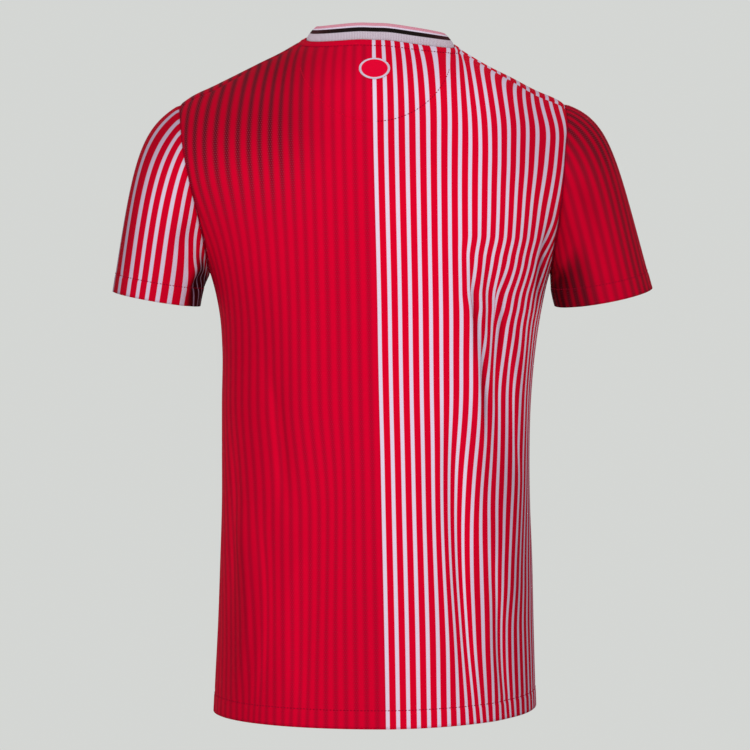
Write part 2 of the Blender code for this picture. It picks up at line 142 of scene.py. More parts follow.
CREASES = {
    BACK: table(Fold,
        (-0.36, -0.70, 0.060, 0.067, 0.082, 0.013, 0.0032, 0.08),
        (-0.38, -0.70, 0.086, 0.092, 0.104, 0.014, -0.0036, 0.08),
        (-0.30, -0.47, 0.140, 0.146, 0.151, 0.005, -0.0026, 0.05),
        (-0.50, -0.73, 0.104, 0.112, 0.128, 0.010, 0.0030, 0.08),
        (-0.50, -0.73, 0.122, 0.130, 0.142, 0.009, -0.0034, 0.08),
        (-0.16, -0.44, -0.050, -0.060, -0.078, 0.020, 0.0022, 0.10),
        (-0.34, -0.50, -0.112, -0.100, -0.097, 0.008, -0.0028, 0.06),
        (-0.47, -0.71, -0.134, -0.113, -0.130, 0.009, -0.0034, 0.08),
        (-0.47, -0.71, -0.148, -0.130, -0.148, 0.010, 0.0026, 0.08),
        (-0.38, -0.62, -0.151, -0.147, -0.152, 0.006, -0.0022, 0.08),
        (-0.52, -0.72, -0.070, -0.082, -0.070, 0.012, -0.0016, 0.08),
    ),
    FRONT: table(Fold,
        (-0.24, -0.52, -0.090, -0.104, -0.118, 0.008, 0.0028, 0.06),
        (-0.24, -0.54, -0.100, -0.115, -0.131, 0.007, -0.0034, 0.06),
        (-0.36, -0.70, 0.066, 0.072, 0.086, 0.013, 0.0030, 0.08),
        (-0.38, -0.70, 0.088, 0.096, 0.108, 0.014, -0.0035, 0.08),
        (-0.46, -0.72, 0.134, 0.118, 0.132, 0.009, -0.0032, 0.08),
        (-0.46, -0.72, -0.086, -0.074, -0.082, 0.012, -0.0028, 0.08),
        (-0.10, -0.34, 0.098, 0.056, 0.034, 0.013, -0.0026, 0.08),
        (-0.12, -0.36, -0.104, -0.062, -0.046, 0.013, -0.0022, 0.08),
        (-0.225, -0.33, 0.152, 0.138, 0.128, 0.006, -0.0028, 0.04),
        (-0.225, -0.33, -0.146, -0.132, -0.124, 0.006, -0.0028, 0.04),
    ),
}

# Cloth that is bunched (or, where negative, stretched) more finely than the folds show: outside the line, the
# cut has this much more than what the folds take up. It begins at the height none and is whole at full.
Gather = namedtuple("Gather", "none full top bottom x_top x_middle x_bottom width amount")
GATHERS = {
    FRONT: (),
    BACK: table(Gather,
        (-0.36, -0.58, -0.38, -0.73, 0.071, 0.080, 0.116, 0.014, 0.0130),
        (-0.46, -0.56, -0.38, -0.73, 0.126, 0.131, 0.140, 0.008, 0.0060),
        (-0.38, -0.50, -0.38, -0.73, -0.036, -0.048, -0.086, 0.018, 0.0085),
        (-0.44, -0.68, -0.44, -0.73, -0.106, -0.110, -0.130, 0.012, 0.0150),
        (-0.210, -0.235, -0.20, -0.35, 0.092, 0.092, 0.096, 0.006, 0.0035),
        (-0.265, -0.290, -0.20, -0.35, 0.092, 0.092, 0.096, 0.006, -0.0035),
        (-0.57, -0.62, -0.38, -0.73, 0.128, 0.131, 0.140, 0.010, 0.0030),
        (-0.27, -0.14, 0.00, -0.30, -0.165, -0.165, -0.165, 0.035, -0.0168),
        (-0.09, -0.13, 0.00, -0.30, 0.128, 0.128, 0.128, 0.015, 0.0018),
        (-0.11, -0.19, 0.00, -0.30, 0.158, 0.158, 0.158, 0.020, 0.0050),
        (-0.06, -0.11, 0.00, -0.30, 0.168, 0.176, 0.184, 0.012, -0.0055),
    ),
}

# Tucks: narrow creases that swallow one stripe, whose number is counted from the centre line. Each begins at
# the height none and is full at the height full; its line runs down through (height, x).
Tuck = namedtuple("Tuck", "stripe none full line")
TUCKS = {
    FRONT: (),
    BACK: table(Tuck,
        (10, -0.225, -0.305,
         ((-0.220, 0.0985), (-0.249, 0.0980), (-0.274, 0.0995), (-0.300, 0.1025), (-0.360, 0.1030))),
        (12, -0.285, -0.380,
         ((-0.280, 0.1130), (-0.310, 0.1100), (-0.347, 0.1100), (-0.380, 0.1125), (-0.440, 0.1130))),
        (14, -0.235, -0.312,
         ((-0.250, 0.1330), (-0.274, 0.1300), (-0.300, 0.1295), (-0.350, 0.1270))),
        (19, -0.185, -0.245,
         ((-0.180, 0.1840), (-0.224, 0.1750), (-0.245, 0.1720), (-0.300, 0.1670))),
    ),
}
TUCK_EDGE = 0.0005      # how far from a stripe the tuck's line lies
TUCK_LATE = 0.01        # the crease's relief begins this far below none
TUCK_GONE = 0.05        # and fades over this height below full
TUCK_WIDTH = 0.0026     # of the crease's relief
TUCK_DEPTH = 0.0026     # how deep the crease is
TUCK_ROLL = 0.0020      # how far the cloth beside it stands up
ROLL_OUT = 3.2          # how far out that cloth lies, and how wide it is, in crease widths
ROLL_WIDTH, CREASE_WIDTH = 2.2, 1.3

# The back's stripes turn less than the cloth's grain near the shoulder seam: by so much on the right and on
# the left, over so long from it. This starts and is whole at two distances out, is weaker beyond a third, and
# is gone at the lower of the heights.
SHOULDER_EASE_RIGHT, SHOULDER_EASE_LEFT, SHOULDER_EASE_REACH = 0.0220, 0.0110, 0.033
SHOULDER_EASE_START, SHOULDER_EASE_END = 0.045, 0.090
SHOULDER_EASE_LESS, SHOULDER_EASE_TIP = 0.35, (0.140, 0.175)
SHOULDER_EASE_HEIGHTS = (-0.20, -0.12)
# The front panel's stripes stand upright behind the shoulder line, this much closer.
STRIP_SPREAD, STRIP_BEHIND, STRIP_HEIGHTS = 1.04, (0.004, -0.006), (-0.16, -0.10)

SLEEVE_GRAIN = 10.65    # degrees by which the stripes of a sleeve are turned towards its back
# Where the left sleeve's cloth is stretched, so that its stripes lie further apart. EASE and OUTER are steps
# of its cut, each round a middle and over a width: behind the sleeve's top line, and at it. LOOSE grows
# towards the underarm with the square of the distance past LOOSE_FROM, up to LOOSE_REACH of it, and with the
# way down.
EASE, EASE_MIDDLE, EASE_WIDTH, EASE_SHIFT = 0.0068, 0.015, 0.014, 0.0081
LOOSE, LOOSE_FROM, LOOSE_REACH, LOOSE_DOWN = 5.6, 0.050, 0.060, 0.9
OUTER, OUTER_MIDDLE, OUTER_WIDTH = 0.0070, -0.011, 0.010

# Sleeves. The cuff is an oval: middle, half its width and half its depth; slope is how far its outer edge is
# above its inner edge, dip how far its back edge hangs below its front edge. The last three say how much the
# cloth heads outwards, from 0 straight down to 1 level: at the armhole's top and its bottom, and at the cuff.
Sleeve = namedtuple("Sleeve", "cuff_x cuff_y cuff_z half_width half_depth slope dip "
                              "top_out under_out cuff_out")
SLEEVES = {
    "sleeve_left": Sleeve(-0.2332, -0.004, -0.2722, 0.0457, 0.0640, 0.0161, 0.010, 0.865, 0.30, 0.15),
    "sleeve_right": Sleeve(0.2438, -0.004, -0.2700, 0.0513, 0.0610, 0.0195, 0.017, 0.96, 0.22, 0.27),
}
SLEEVE_START_PULL, SLEEVE_END_PULL = 0.75, 2.00     # how firmly those directions hold, at armhole and cuff
SLEEVE_SWELL = 0.16     # how far the back and the front of the sleeve lean out as they leave the armhole
SLEEVE_CLEAR_TOP, SLEEVE_CLEAR_UNDER = 0.0006, 0.0017     # gap to the panels, wider where the seam turns in

# The collar band: how far it leans in from upright, by the angle round the neck from the middle of the back.
Lean = namedtuple("Lean", "turn lean")
COLLAR_LEANS = table(Lean, (0, 12), (15, 13), (50, 15), (75, 26), (105, 56), (135, 58), (180, 46))
COLLAR_WIDTH = 0.0190
COLLAR_BOW = 0.0012     # how far the band bows out between its edges
COLLAR_CLEAR = 0.0008
COLLAR_ROUND = 24       # points round the band's own outline
COLLAR_SQUARE, COLLAR_SLANT = 0.45, 0.035       # how boxy that outline is, and how far its outside sits up

# The nape patch is an oval on the centre line. Its rings, from its middle to its edge and down to its foot,
# are each at a share of its half width and half height, and stand up by a share of its thickness.
PATCH_X, PATCH_Z = -0.0005, -0.0395
PATCH_HALF_WIDTH, PATCH_HALF_HEIGHT = 0.0160, 0.0115
PATCH_SPOKES, PATCH_CLEAR, PATCH_THICK = 96, 0.0003, 0.0008
PatchRing = namedtuple("PatchRing", "share height")
PATCH_RINGS = table(PatchRing,
    (0.00, 0.60), (0.20, 0.60), (0.40, 0.60), (0.60, 0.60), (0.75, 0.60), (0.82, 0.60),
    (0.86, 0.85), (0.92, 1.00), (0.97, 0.85), (1.00, 0.50), (1.00, 0.00))

PITCH = 0.01055         # from one stripe to the next, on the flat cut
STRIPE = 0.0039         # width of a stripe

YOKE_CROWD = 1.2        # more than 1 sets the yoke's rows closer together towards the underarm
PANEL_SPREAD = 0.190    # half the cloth across a panel
TOP_TURN = 0.050        # over about this length the columns turn to meet a panel's top edge squarely
CORNER_BLUR = 8         # columns over which that turn is evened out where the neckline meets a shoulder
EDGE_SAMPLES = 241
WAY_LOW, WAY_BEYOND = 1.6, -0.8     # how far down a panel, and past the shoulder line, its top edge is sought

# Counts of columns and rows. The flat cut is first worked out on every COARSE_STEPth of them.
NECK_COLUMNS, SHOULDER_COLUMNS = 80, 40
BODY_ROWS, YOKE_ROWS, SLEEVE_ROWS = 120, 100, 84
COARSE_STEP = 4
COARSE_ROUNDS, FINE_ROUNDS = 80, 10
WEIGHTS = (0.05, 20.0)  # an edge's weight in that work is kept between these
LEAST_STEP, LEAST_AREA = 1e-5, 1e-9     # so that nothing is divided by zero


# ---------------------------------------------------------------- smooth tables

def smooth(x, xs, ys):
    """A smooth curve through the points (xs, ys), read at x and held level past its ends."""
    slopes = np.gradient(ys, xs)
    i = np.clip(np.searchsorted(xs, x) - 1, 0, len(xs) - 2)
    step = xs[i + 1] - xs[i]
    t = np.clip((x - xs[i]) / step, 0.0, 1.0)
    start = ys[i] * (1 + 2 * t) * (1 - t) ** 2 + slopes[i] * step * t * (1 - t) ** 2
    end = ys[i + 1] * (3 - 2 * t) * t ** 2 - slopes[i + 1] * step * (1 - t) * t ** 2
    return start + end


@lru_cache(maxsize=None)
def column(rows, name):
    """One named column of a table."""
    return np.array([getattr(row, name) for row in rows])


def section(name, height):
    return smooth(height, column(SECTIONS, "height"), column(SECTIONS, name))


def shoulder_line(x):
    """Height of the shoulder line, the highest line of the torso, at x."""
    out = column(SHOULDERS, "out")
    left = smooth(np.abs(x), out, column(SHOULDERS, "left"))
    right = smooth(np.abs(x), out, column(SHOULDERS, "right"))
    return np.where(np.asarray(x) < 0, left, right)


def bump(distance, width):
    """1 at no distance, falling smoothly to nearly 0 at twice the width."""
    return np.exp(-(distance / width) ** 2)


def ramp(x, start, end):
    """0 up to start, rising smoothly to 1 at end."""
    t = np.clip((x - start) / (end - start), 0.0, 1.0)
    return t * t * (3 - 2 * t)


# ---------------------------------------------------------------- the torso's surface

def armhole_rise(height):
    """0 at the underarm and below, 1 at the shoulder tip and above."""
    return np.clip((height - UNDERARM) / (SHOULDER_TIP - UNDERARM), 0.0, 1.0)


def torso_span(height):
    """The middle and the half width of the torso at a height."""
    left, right = section("left", height), section("right", height)
    return (left + right) / 2, (right - left) / 2


def edge_offset(height, face):
    """Where a panel's side edge lies, of the torso's half width: 1 at the side seam, less at the armhole."""
    rise = armhole_rise(height)
    depth_share = ARMHOLE_SHARE * np.sqrt(1 - (1 - rise) ** 2)
    scoop = FRONT_SCOOP * np.sin(math.pi * rise) ** 2 if face == FRONT else 0.0
    return (1 - depth_share ** SQUARENESS) ** (1 / SQUARENESS) - scoop / torso_span(height)[1]


def section_turn(offset):
    """The angle round a section, from the middle of a face, of a point at an offset from the middle."""
    return np.sign(offset) * np.arcsin(np.minimum(np.abs(offset), 1.0) ** (SQUARENESS / 2))


def across(u, height, face):
    """x of the point a share u across a panel: -1 is its left edge, 0 its centre line, 1 its right."""
    middle, half = torso_span(height)
    centre_turn = section_turn((section("centre", height) - middle) / half)
    edge_turn = section_turn(edge_offset(height, face))
    turn = centre_turn + np.abs(u) * (np.sign(u) * edge_turn - centre_turn)
    return middle + half * np.sign(turn) * np.abs(np.sin(turn)) ** (2 / SQUARENESS)


def full_depth(x, height, face):
    """Depth of the torso at x, before the shoulder's rounding."""
    middle, half = torso_span(height)
    depth = section("back" if face == BACK else "front", height)
    offset = np.minimum(np.abs(x - middle) / half, 1.0)
    return depth * (1 - offset ** SQUARENESS) ** (1 / SQUARENESS)


def rounding(way, face):
    """(drop below the shoulder line, share of the full depth) a way down a face: 1 is where the fall ends."""
    fall = FALLS[face]
    angle = np.clip(way, 0.0, 1.0) * math.pi / 2
    drop = fall.height * (1 - np.cos(angle) + np.maximum(way - 1, 0.0) * math.pi / 2)
    return drop, (1 - np.cos(angle) ** fall.roundness) ** (1 / fall.roundness)


def way_at_drop(drop, face):
    fall = FALLS[face]
    t = drop / fall.height
    return np.where(t < 1, np.arccos(1 - np.clip(t, 0.0, 1.0)) * 2 / math.pi, 1 + (t - 1) * 2 / math.pi)


def column_top(u):
    """Height of the shoulder line at u across, where the back and the front panel share one u."""
    return shoulder_line(across(u, SHOULDER_TIP, BACK))


def torso_points(u, ways, panel):
    """Points of a panel at u across and at signed ways from the shoulder line: negative is the back."""
    u, ways = np.broadcast_arrays(u, ways)
    drop_back, share_back = rounding(np.abs(ways), BACK)
    drop_front, share_front = rounding(np.abs(ways), FRONT)
    height = column_top(u) - np.where(ways < 0, drop_back, drop_front)
    x = across(u, height, panel)
    y_back = -full_depth(x, height, BACK) * share_back
    y_front = full_depth(x, height, FRONT) * share_front
    return np.stack([x, np.where(ways < 0, y_back, y_front), height], axis=-1)


def top_edge_y(x, panel):
    """y of a panel's top edge at x: the neckline, or the shoulder seam beyond it."""
    offset = np.abs(x - NECK_MIDDLE) / NECK_HALF
    reach = NECK_BACK - NECK_SEAM_BACK if panel == BACK else NECK_FRONT + NECK_SEAM_BACK
    power = NECK_SQUARENESS[panel]
    neck = panel * reach * (1 - np.clip(offset, 0, 1) ** power) ** (1 / power)
    seam = smooth(np.abs(x), column(SHOULDERS, "out"), column(SHOULDERS, "seam_back"))
    blend = np.clip((offset - 1) / SEAM_BLEND, 0, 1)
    return neck - NECK_SEAM_BACK - (seam - NECK_SEAM_BACK) * blend + panel * SEAM_GAP / 2


def top_ways(u, panel):
    """The signed way from the shoulder line at which a panel ends, at each u across."""
    ways = panel * np.linspace(WAY_LOW, WAY_BEYOND, EDGE_SAMPLES)
    points = torso_points(u[:, None], ways, panel)
    left_to_go = panel * (points[..., 1] - top_edge_y(points[..., 0], panel))
    last = EDGE_SAMPLES - 1 - np.argmax(left_to_go[:, ::-1] > 0, axis=1)
    row = np.arange(len(u))
    before, beyond = left_to_go[row, last], left_to_go[row, last + 1]
    return ways[last] + (ways[last + 1] - ways[last]) * before / (before - beyond)


# ---------------------------------------------------------------- grids of points

def unit(vectors):
    """Vectors, each scaled to a length of 1."""
    return vectors / np.linalg.norm(vectors, axis=-1, keepdims=True)


def path_lengths(path):
    """Length along a path from its start to each of its points."""
    return np.concatenate([[0.0], np.cumsum(np.linalg.norm(np.diff(path, axis=0), axis=1))])


def corners(grid):
    """The values at the four corners of each cell of a grid, in order round it."""
    return grid[:-1, :-1], grid[:-1, 1:], grid[1:, 1:], grid[1:, :-1]


def cells(grid, flip=False):
    """The same four values, cell by cell."""
    found = corners(grid)
    return np.stack(found[::-1] if flip else found, axis=2).reshape(-1, 4, *grid.shape[2:])


def vertex_grid(points):
    return np.arange(points.shape[0] * points.shape[1]).reshape(points.shape[:2])


def resample(path, count):
    """count points, evenly spaced along a path."""
    along = path_lengths(path)
    wanted = np.linspace(0.0, along[-1], count)
    return np.stack([np.interp(wanted, along, values) for values in path.T], axis=1)


def blurred(values, width):
    """Rows of values, each averaged with its neighbours over about a width."""
    kernel = bump(np.arange(-3 * width, 3 * width + 1), width * math.sqrt(2))
    padded = np.pad(values, ((3 * width, 3 * width), (0, 0)), mode="edge")
    return np.stack([np.convolve(part, kernel / kernel.sum(), "valid") for part in padded.T], axis=1)


def loft(start, leave, end, arrive, shares):
    """Rows of points from start to end, which leave and arrive along two sets of directions."""
    s = shares[:, None, None]
    straight = start * (1 + 2 * s) * (1 - s) ** 2 + end * (3 - 2 * s) * s ** 2
    return straight + leave * s * (1 - s) ** 2 - arrive * (1 - s) * s ** 2


def top_plan(panel):
    """A panel's top edge in its flat plan, across and up in metres, at each column: even along each seam."""
    u = np.linspace(-1.0, 1.0, EDGE_SAMPLES)
    top_x = torso_points(u, top_ways(u, panel), panel)[:, 0]
    left, right = np.interp([NECK_MIDDLE - NECK_HALF, NECK_MIDDLE + NECK_HALF], top_x, u)
    neck = (left + right) / 2 + (right - left) / 2 * np.sin(u * math.pi / 2)
    seams = ((np.linspace(-1, left, EDGE_SAMPLES), SHOULDER_COLUMNS),
             (neck, NECK_COLUMNS),
             (np.linspace(right, 1, EDGE_SAMPLES), SHOULDER_COLUMNS))
    plans = []
    for shares, count in seams:
        up = -panel * top_ways(shares, panel) * FALLS[panel].run
        plans.append(resample(np.stack([shares * PANEL_SPREAD, up], axis=1), count + 1))
    return np.concatenate([plans[0], plans[1][1:], plans[2][1:]])


def yoke_grid(panel):
    """A panel's rows from the underarm up to its top edge, which its columns meet squarely."""
    top = top_plan(panel)
    u = np.linspace(-1.0, 1.0, len(top))
    run = FALLS[panel].run
    foot = np.stack([u * PANEL_SPREAD, -way_at_drop(column_top(u) - UNDERARM, panel) * run], axis=1)
    along = np.gradient(top, axis=0)
    square = unit(np.stack([-along[:, 1], along[:, 0]], axis=1))
    square = unit(blurred(square, CORNER_BLUR))
    square[[0, -1]] = (0, 1)
    upright = np.outer(np.linalg.norm(top - foot, axis=1), (0, 1))
    plan = loft(foot, upright, top, square * TOP_TURN, np.linspace(0, 1, YOKE_ROWS + 1) ** YOKE_CROWD)
    return torso_points(plan[..., 0] / PANEL_SPREAD, -panel * plan[..., 1] / run, panel)


def hem_height(u):
    return HEM_CENTRE + (np.where(u < 0, HEM_LEFT, HEM_RIGHT) - HEM_CENTRE) * np.abs(u) ** HEM_CURVE


def panel_grid(panel):
    """Rows of points of the back or front panel, from the hem to the top edge, each from left to right."""
    yoke = yoke_grid(panel)
    u = np.linspace(-1.0, 1.0, yoke.shape[1])
    heights = hem_height(u) + np.linspace(0, 1, BODY_ROWS + 1)[:-1, None] * (UNDERARM - hem_height(u))
    x = across(u, heights, panel)
    body = np.stack([x, panel * full_depth(x, heights, panel), heights], axis=-1)
    points = np.concatenate([body, yoke])
    seam = points[: BODY_ROWS + 1, :, 1]
    seam[:] = panel * np.maximum(panel * seam, SEAM_GAP / 2)
    return points


def normals(points):
    """Unit normals of a grid of points: its columns' direction crossed with its rows' direction."""
    cross = np.cross(np.gradient(points, axis=1), np.gradient(points, axis=0))
    return cross / np.maximum(np.linalg.norm(cross, axis=2, keepdims=True), LEAST_AREA)


def lengths_along(points, axis):
    """Length of cloth from the first row or column to each point."""
    steps = np.linalg.norm(np.diff(points, axis=axis), axis=2)
    return np.concatenate([np.zeros_like(np.take(steps, [0], axis)), np.cumsum(steps, axis=axis)], axis=axis)


def line_at(line, height):
    """x of a fold's or gather's line at a height."""
    run = (line.top - height) / (line.top - line.bottom)
    bend = line.x_top * (1 - run) ** 2 + line.x_bottom * run ** 2
    return bend + (2 * line.x_middle - (line.x_top + line.x_bottom) / 2) * 2 * run * (1 - run)


def fold_height(fold, x, height):
    """How far a fold lifts the cloth at x and a height."""
    ends = np.clip((fold.top - height) / fold.fade, 0, 1) * np.clip((height - fold.bottom) / fold.fade, 0, 1)
    return fold.depth * bump(x - line_at(fold, height), fold.width) * np.sin(ends * math.pi / 2) ** 2


def tuck_at(tuck, height):
    """x of a tuck's line at a height, and what share of a stripe's pitch it has swallowed there."""
    heights, places = np.array(tuck.line[::-1]).T
    return smooth(height, heights, places), ramp(-height, -tuck.none, -tuck.full)


def tuck_show(tuck, height):
    """How much of a tuck's relief shows at a height."""
    return ramp(-height, -tuck.none - TUCK_LATE, -tuck.full) * ramp(height, tuck.full - TUCK_GONE, tuck.full)


def tuck_lift(tuck, x, height):
    """How far a tuck's relief lifts the cloth: a narrow crease, and a roll of cloth on its outer side."""
    line = tuck_at(tuck, height)[0]
    crease = TUCK_DEPTH * bump(x - line, CREASE_WIDTH * TUCK_WIDTH)
    roll = TUCK_ROLL * bump(x - line - ROLL_OUT * TUCK_WIDTH, ROLL_WIDTH * TUCK_WIDTH)
    return tuck_show(tuck, height) * (roll - crease)


def gathered(cut, points, panel):
    """A flat cut with the cloth of the panel's gathers added."""
    moved = cut.copy()
    x, height = points[..., 0], points[..., 2]
    if panel == BACK:
        to_top = lengths_along(points[::-1], 0)[::-1]
        ease = np.exp(-to_top / SHOULDER_EASE_REACH) * ramp(np.abs(x), SHOULDER_EASE_START, SHOULDER_EASE_END)
        ease = ease * (1 - SHOULDER_EASE_LESS * ramp(np.abs(x), *SHOULDER_EASE_TIP))
        ease = ease * np.where(x < 0, -SHOULDER_EASE_LEFT, SHOULDER_EASE_RIGHT)
        moved[..., 0] -= ease * ramp(height, *SHOULDER_EASE_HEIGHTS)
    else:
        behind = ramp(points[..., 1], *STRIP_BEHIND) * ramp(height, *STRIP_HEIGHTS)
        upright = (x - section("centre", height) + STRIPE / 2) * STRIP_SPREAD
        moved[..., 0] += (upright - moved[..., 0]) * behind
    for gather in GATHERS[panel]:
        side = math.copysign(1, gather.x_middle)
        beyond = (1 + np.tanh(side * (x - line_at(gather, height)) / gather.width)) / 2
        moved[..., 0] += side * gather.amount * ramp(height, gather.none, gather.full) * beyond
    return moved


def armhole_ring(side, back, front):
    """The armhole from the shoulder seam down the back panel to the underarm and up the front panel."""
    edge = 0 if side < 0 else -1
    return np.concatenate([back[BODY_ROWS:, edge][::-1], front[BODY_ROWS + 1 : -1, edge]])


def armhole_turns(ring):
    """The angle round the sleeve of each point of its armhole: 0 at the shoulder seam, pi at the underarm."""
    steps = np.linalg.norm(np.roll(ring, -1, axis=0) - ring, axis=1)
    down, up = steps[:YOKE_ROWS], steps[YOKE_ROWS:]
    turns = np.cumsum(np.concatenate([down / down.sum(), up / up.sum()])) * math.pi
    return np.concatenate([[0.0], turns[:-1]])


def sleeve_grid(sleeve, back, front):
    """Rings of a sleeve from the armhole to the cuff; each starts at the top and runs round by the back."""
    side = math.copysign(1, sleeve.cuff_x)
    armhole = armhole_ring(side, back, front)
    turn = armhole_turns(armhole)
    under = (1 - np.cos(turn)) / 2
    clear = SLEEVE_CLEAR_TOP + (SLEEVE_CLEAR_UNDER - SLEEVE_CLEAR_TOP) * under
    ring = armhole + np.outer(clear, (side, 0, 0))
    cuff = np.stack([
        sleeve.cuff_x + side * sleeve.half_width * np.cos(turn),
        sleeve.cuff_y - sleeve.half_depth * np.sin(turn),
        sleeve.cuff_z + sleeve.slope / 2 * np.cos(turn) - sleeve.dip / 2 * np.sin(turn),
    ], axis=1)
    out = sleeve.top_out + (sleeve.under_out - sleeve.top_out) * under
    leave = np.stack([side * out, -SLEEVE_SWELL * np.sin(turn), -np.sqrt(1 - out ** 2)], axis=1)
    arrive = np.array([side * sleeve.cuff_out, 0.0, -math.sqrt(1 - sleeve.cuff_out ** 2)])
    chord = np.linalg.norm(cuff - ring, axis=1)[:, None]
    leave, arrive = leave * chord * SLEEVE_START_PULL, arrive * chord * SLEEVE_END_PULL
    return loft(ring, leave, cuff, arrive, np.linspace(0, 1, SLEEVE_ROWS + 1))


def neck_ring(back, front):
    """The neckline, from its left end along the back panel to its right end and back along the front."""
    neck = slice(SHOULDER_COLUMNS, SHOULDER_COLUMNS + NECK_COLUMNS + 1)
    return np.concatenate([back[-1, neck], front[-1, neck][-2:0:-1]])


# ---------------------------------------------------------------- laying the cloth flat

def row_solver(own, tie):
    """Solves for the points of a grid in which each row is tied to itself (own) and to the next row (tie)."""
    inverses, carries = [np.linalg.inv(own[0])], []
    for row in range(1, len(own)):
        carries.append(inverses[-1] @ tie[row - 1])
        inverses.append(np.linalg.inv(own[row] - tie[row - 1].T @ carries[-1]))

    def solve(wanted):
        found = [wanted[0]]
        for row in range(1, len(wanted)):
            found.append(wanted[row] - carries[row - 1].T @ found[-1])
        found[-1] = inverses[-1] @ found[-1]
        for row in range(len(wanted) - 2, -1, -1):
            found[row] = inverses[row] @ found[row] - carries[row] @ found[row + 1]
        return np.stack(found)

    return solve


def relax_flat(points, flat, rounds):
    """Improves a first guess of a grid laid flat, until its small triangles keep their shape in place."""
    rows, columns = points.shape[:2]
    a, b, c, d = corners(vertex_grid(points))
    triangles = np.concatenate([np.stack(three, axis=-1).reshape(-1, 3)
                                for three in ((a, b, c), (a, c, d), (a, b, d), (b, c, d))])
    place = points.reshape(-1, 3)
    own, tie = np.zeros((rows, columns, columns)), np.zeros((rows - 1, columns, columns))
    edges = []
    for k in range(3):
        i, j, o = triangles[:, k], triangles[:, (k + 1) % 3], triangles[:, (k + 2) % 3]
        to_i, to_j = place[i] - place[o], place[j] - place[o]
        area = np.linalg.norm(np.cross(to_i, to_j), axis=1)
        weight = np.clip((to_i * to_j).sum(1) / area, *WEIGHTS)
        edges.append((i, j, weight))
        row_i, row_j, column_i, column_j = i // columns, j // columns, i % columns, j % columns
        np.add.at(own, (row_i, column_i, column_i), weight)
        np.add.at(own, (row_j, column_j, column_j), weight)
        same = row_i == row_j
        for p, q in ((column_i, column_j), (column_j, column_i)):
            np.add.at(own, (row_i[same], p[same], q[same]), -weight[same])
        up = ~same
        lower_first = (row_i < row_j)[up]
        lower = np.where(lower_first, column_i[up], column_j[up])
        upper = np.where(lower_first, column_j[up], column_i[up])
        np.add.at(tie, (np.minimum(row_i, row_j)[up], lower, upper), -weight[up])
    own[0, columns // 2, columns // 2] += 1.0
    solve = row_solver(own, tie)
    side = place[triangles[:, 1]] - place[triangles[:, 0]]
    other = place[triangles[:, 2]] - place[triangles[:, 0]]
    length = np.linalg.norm(side, axis=1)
    shape = np.zeros((len(triangles), 3), complex)
    shape[:, 1] = length
    shape[:, 2] = (side * other).sum(1) / length + 1j * np.linalg.norm(np.cross(side, other), axis=1) / length
    sides = [shape[:, (k + 1) % 3] - shape[:, k] for k in range(3)]
    flat = (flat[..., 0] + 1j * flat[..., 1]).ravel()
    for _ in range(rounds):
        turn = sum(weight * (flat[j] - flat[i]) * mine.conj() for (i, j, weight), mine in zip(edges, sides))
        turn /= np.abs(turn)
        wanted = np.zeros(len(flat), complex)
        for (i, j, weight), mine in zip(edges, sides):
            pull = weight * turn * mine
            for spots, sign in ((j, 1), (i, -1)):
                wanted += sign * (np.bincount(spots, pull.real, len(flat))
                                  + 1j * np.bincount(spots, pull.imag, len(flat)))
        wanted = wanted.reshape(rows, columns, 1)
        solved = solve(np.concatenate([wanted.real, wanted.imag], axis=2))
        flat = (solved[..., 0] + 1j * solved[..., 1]).ravel()
    return np.stack([flat.real, flat.imag], axis=-1).reshape(rows, columns, 2)


def flatten(points):
    """Lays a grid flat as it was cut. Its middle column runs up from (0, 0)."""
    coarse = points[::COARSE_STEP, ::COARSE_STEP]
    middle = coarse.shape[1] // 2
    across_row, up_column = lengths_along(coarse, 1), lengths_along(coarse, 0)
    guess = np.stack([across_row - across_row[:, middle : middle + 1],
                      np.broadcast_to(up_column[:, middle : middle + 1], across_row.shape)], axis=-1)
    flat = relax_flat(points, finer(relax_flat(coarse, guess, COARSE_ROUNDS), COARSE_STEP), FINE_ROUNDS)
    middle = points.shape[1] // 2
    upright = flat[-1, middle] - flat[0, middle]
    upright = upright / np.linalg.norm(upright)
    turn = np.array([[upright[1], -upright[0]], [upright[0], upright[1]]])
    return (flat - flat[0, middle]) @ turn.T


def straighten(flat, points, line_x):
    """Moves a flat cut sideways, row by row, so that u is 0 where the cloth crosses x = line_x in place."""
    from_line = points[..., 0] - line_x
    rows = np.arange(len(points))
    last = np.clip((from_line < 0).sum(1) - 1, 0, points.shape[1] - 2)
    share = (from_line[rows, last] / (from_line[rows, last] - from_line[rows, last + 1]))[:, None]
    line = flat[rows, last] * (1 - share) + flat[rows, last + 1] * share
    moved = flat.copy()
    moved[..., 0] -= np.interp(flat[..., 1], line[:, 1], line[:, 0])
    return moved


def finer(values, step):
    """A grid of values with step - 1 more rows and columns between each two, on a smooth curve."""
    for axis in (0, 1):
        values = np.moveaxis(values, axis, 0)
        t = np.linspace(0, len(values) - 1, (len(values) - 1) * step + 1)
        i = np.minimum(t.astype(int), len(values) - 2)
        t = (t - i).reshape(-1, *[1] * (values.ndim - 1))
        slope = np.gradient(values, axis=0)
        values = (values[i] * (1 + 2 * t) * (1 - t) ** 2 + slope[i] * t * (1 - t) ** 2
                  + values[i + 1] * (3 - 2 * t) * t ** 2 - slope[i + 1] * (1 - t) * t ** 2)
        values = np.moveaxis(values, 0, axis)
    return values


# ---------------------------------------------------------------- relief of the cloth

HEM_DEEP = 0.0190       # from the hem's edge to its stitching
CUFF_DEEP = 0.0195
NECK_STRIP = 0.0080     # from the collar seam to the line of stitching that holds the seam down
MOON_X, MOON_Z, MOON_RADIUS = 0.0, -0.0150, 0.0800      # half-moon of stitching round the nape
MOON_SPREAD = 76        # degrees that it runs to each side of straight down

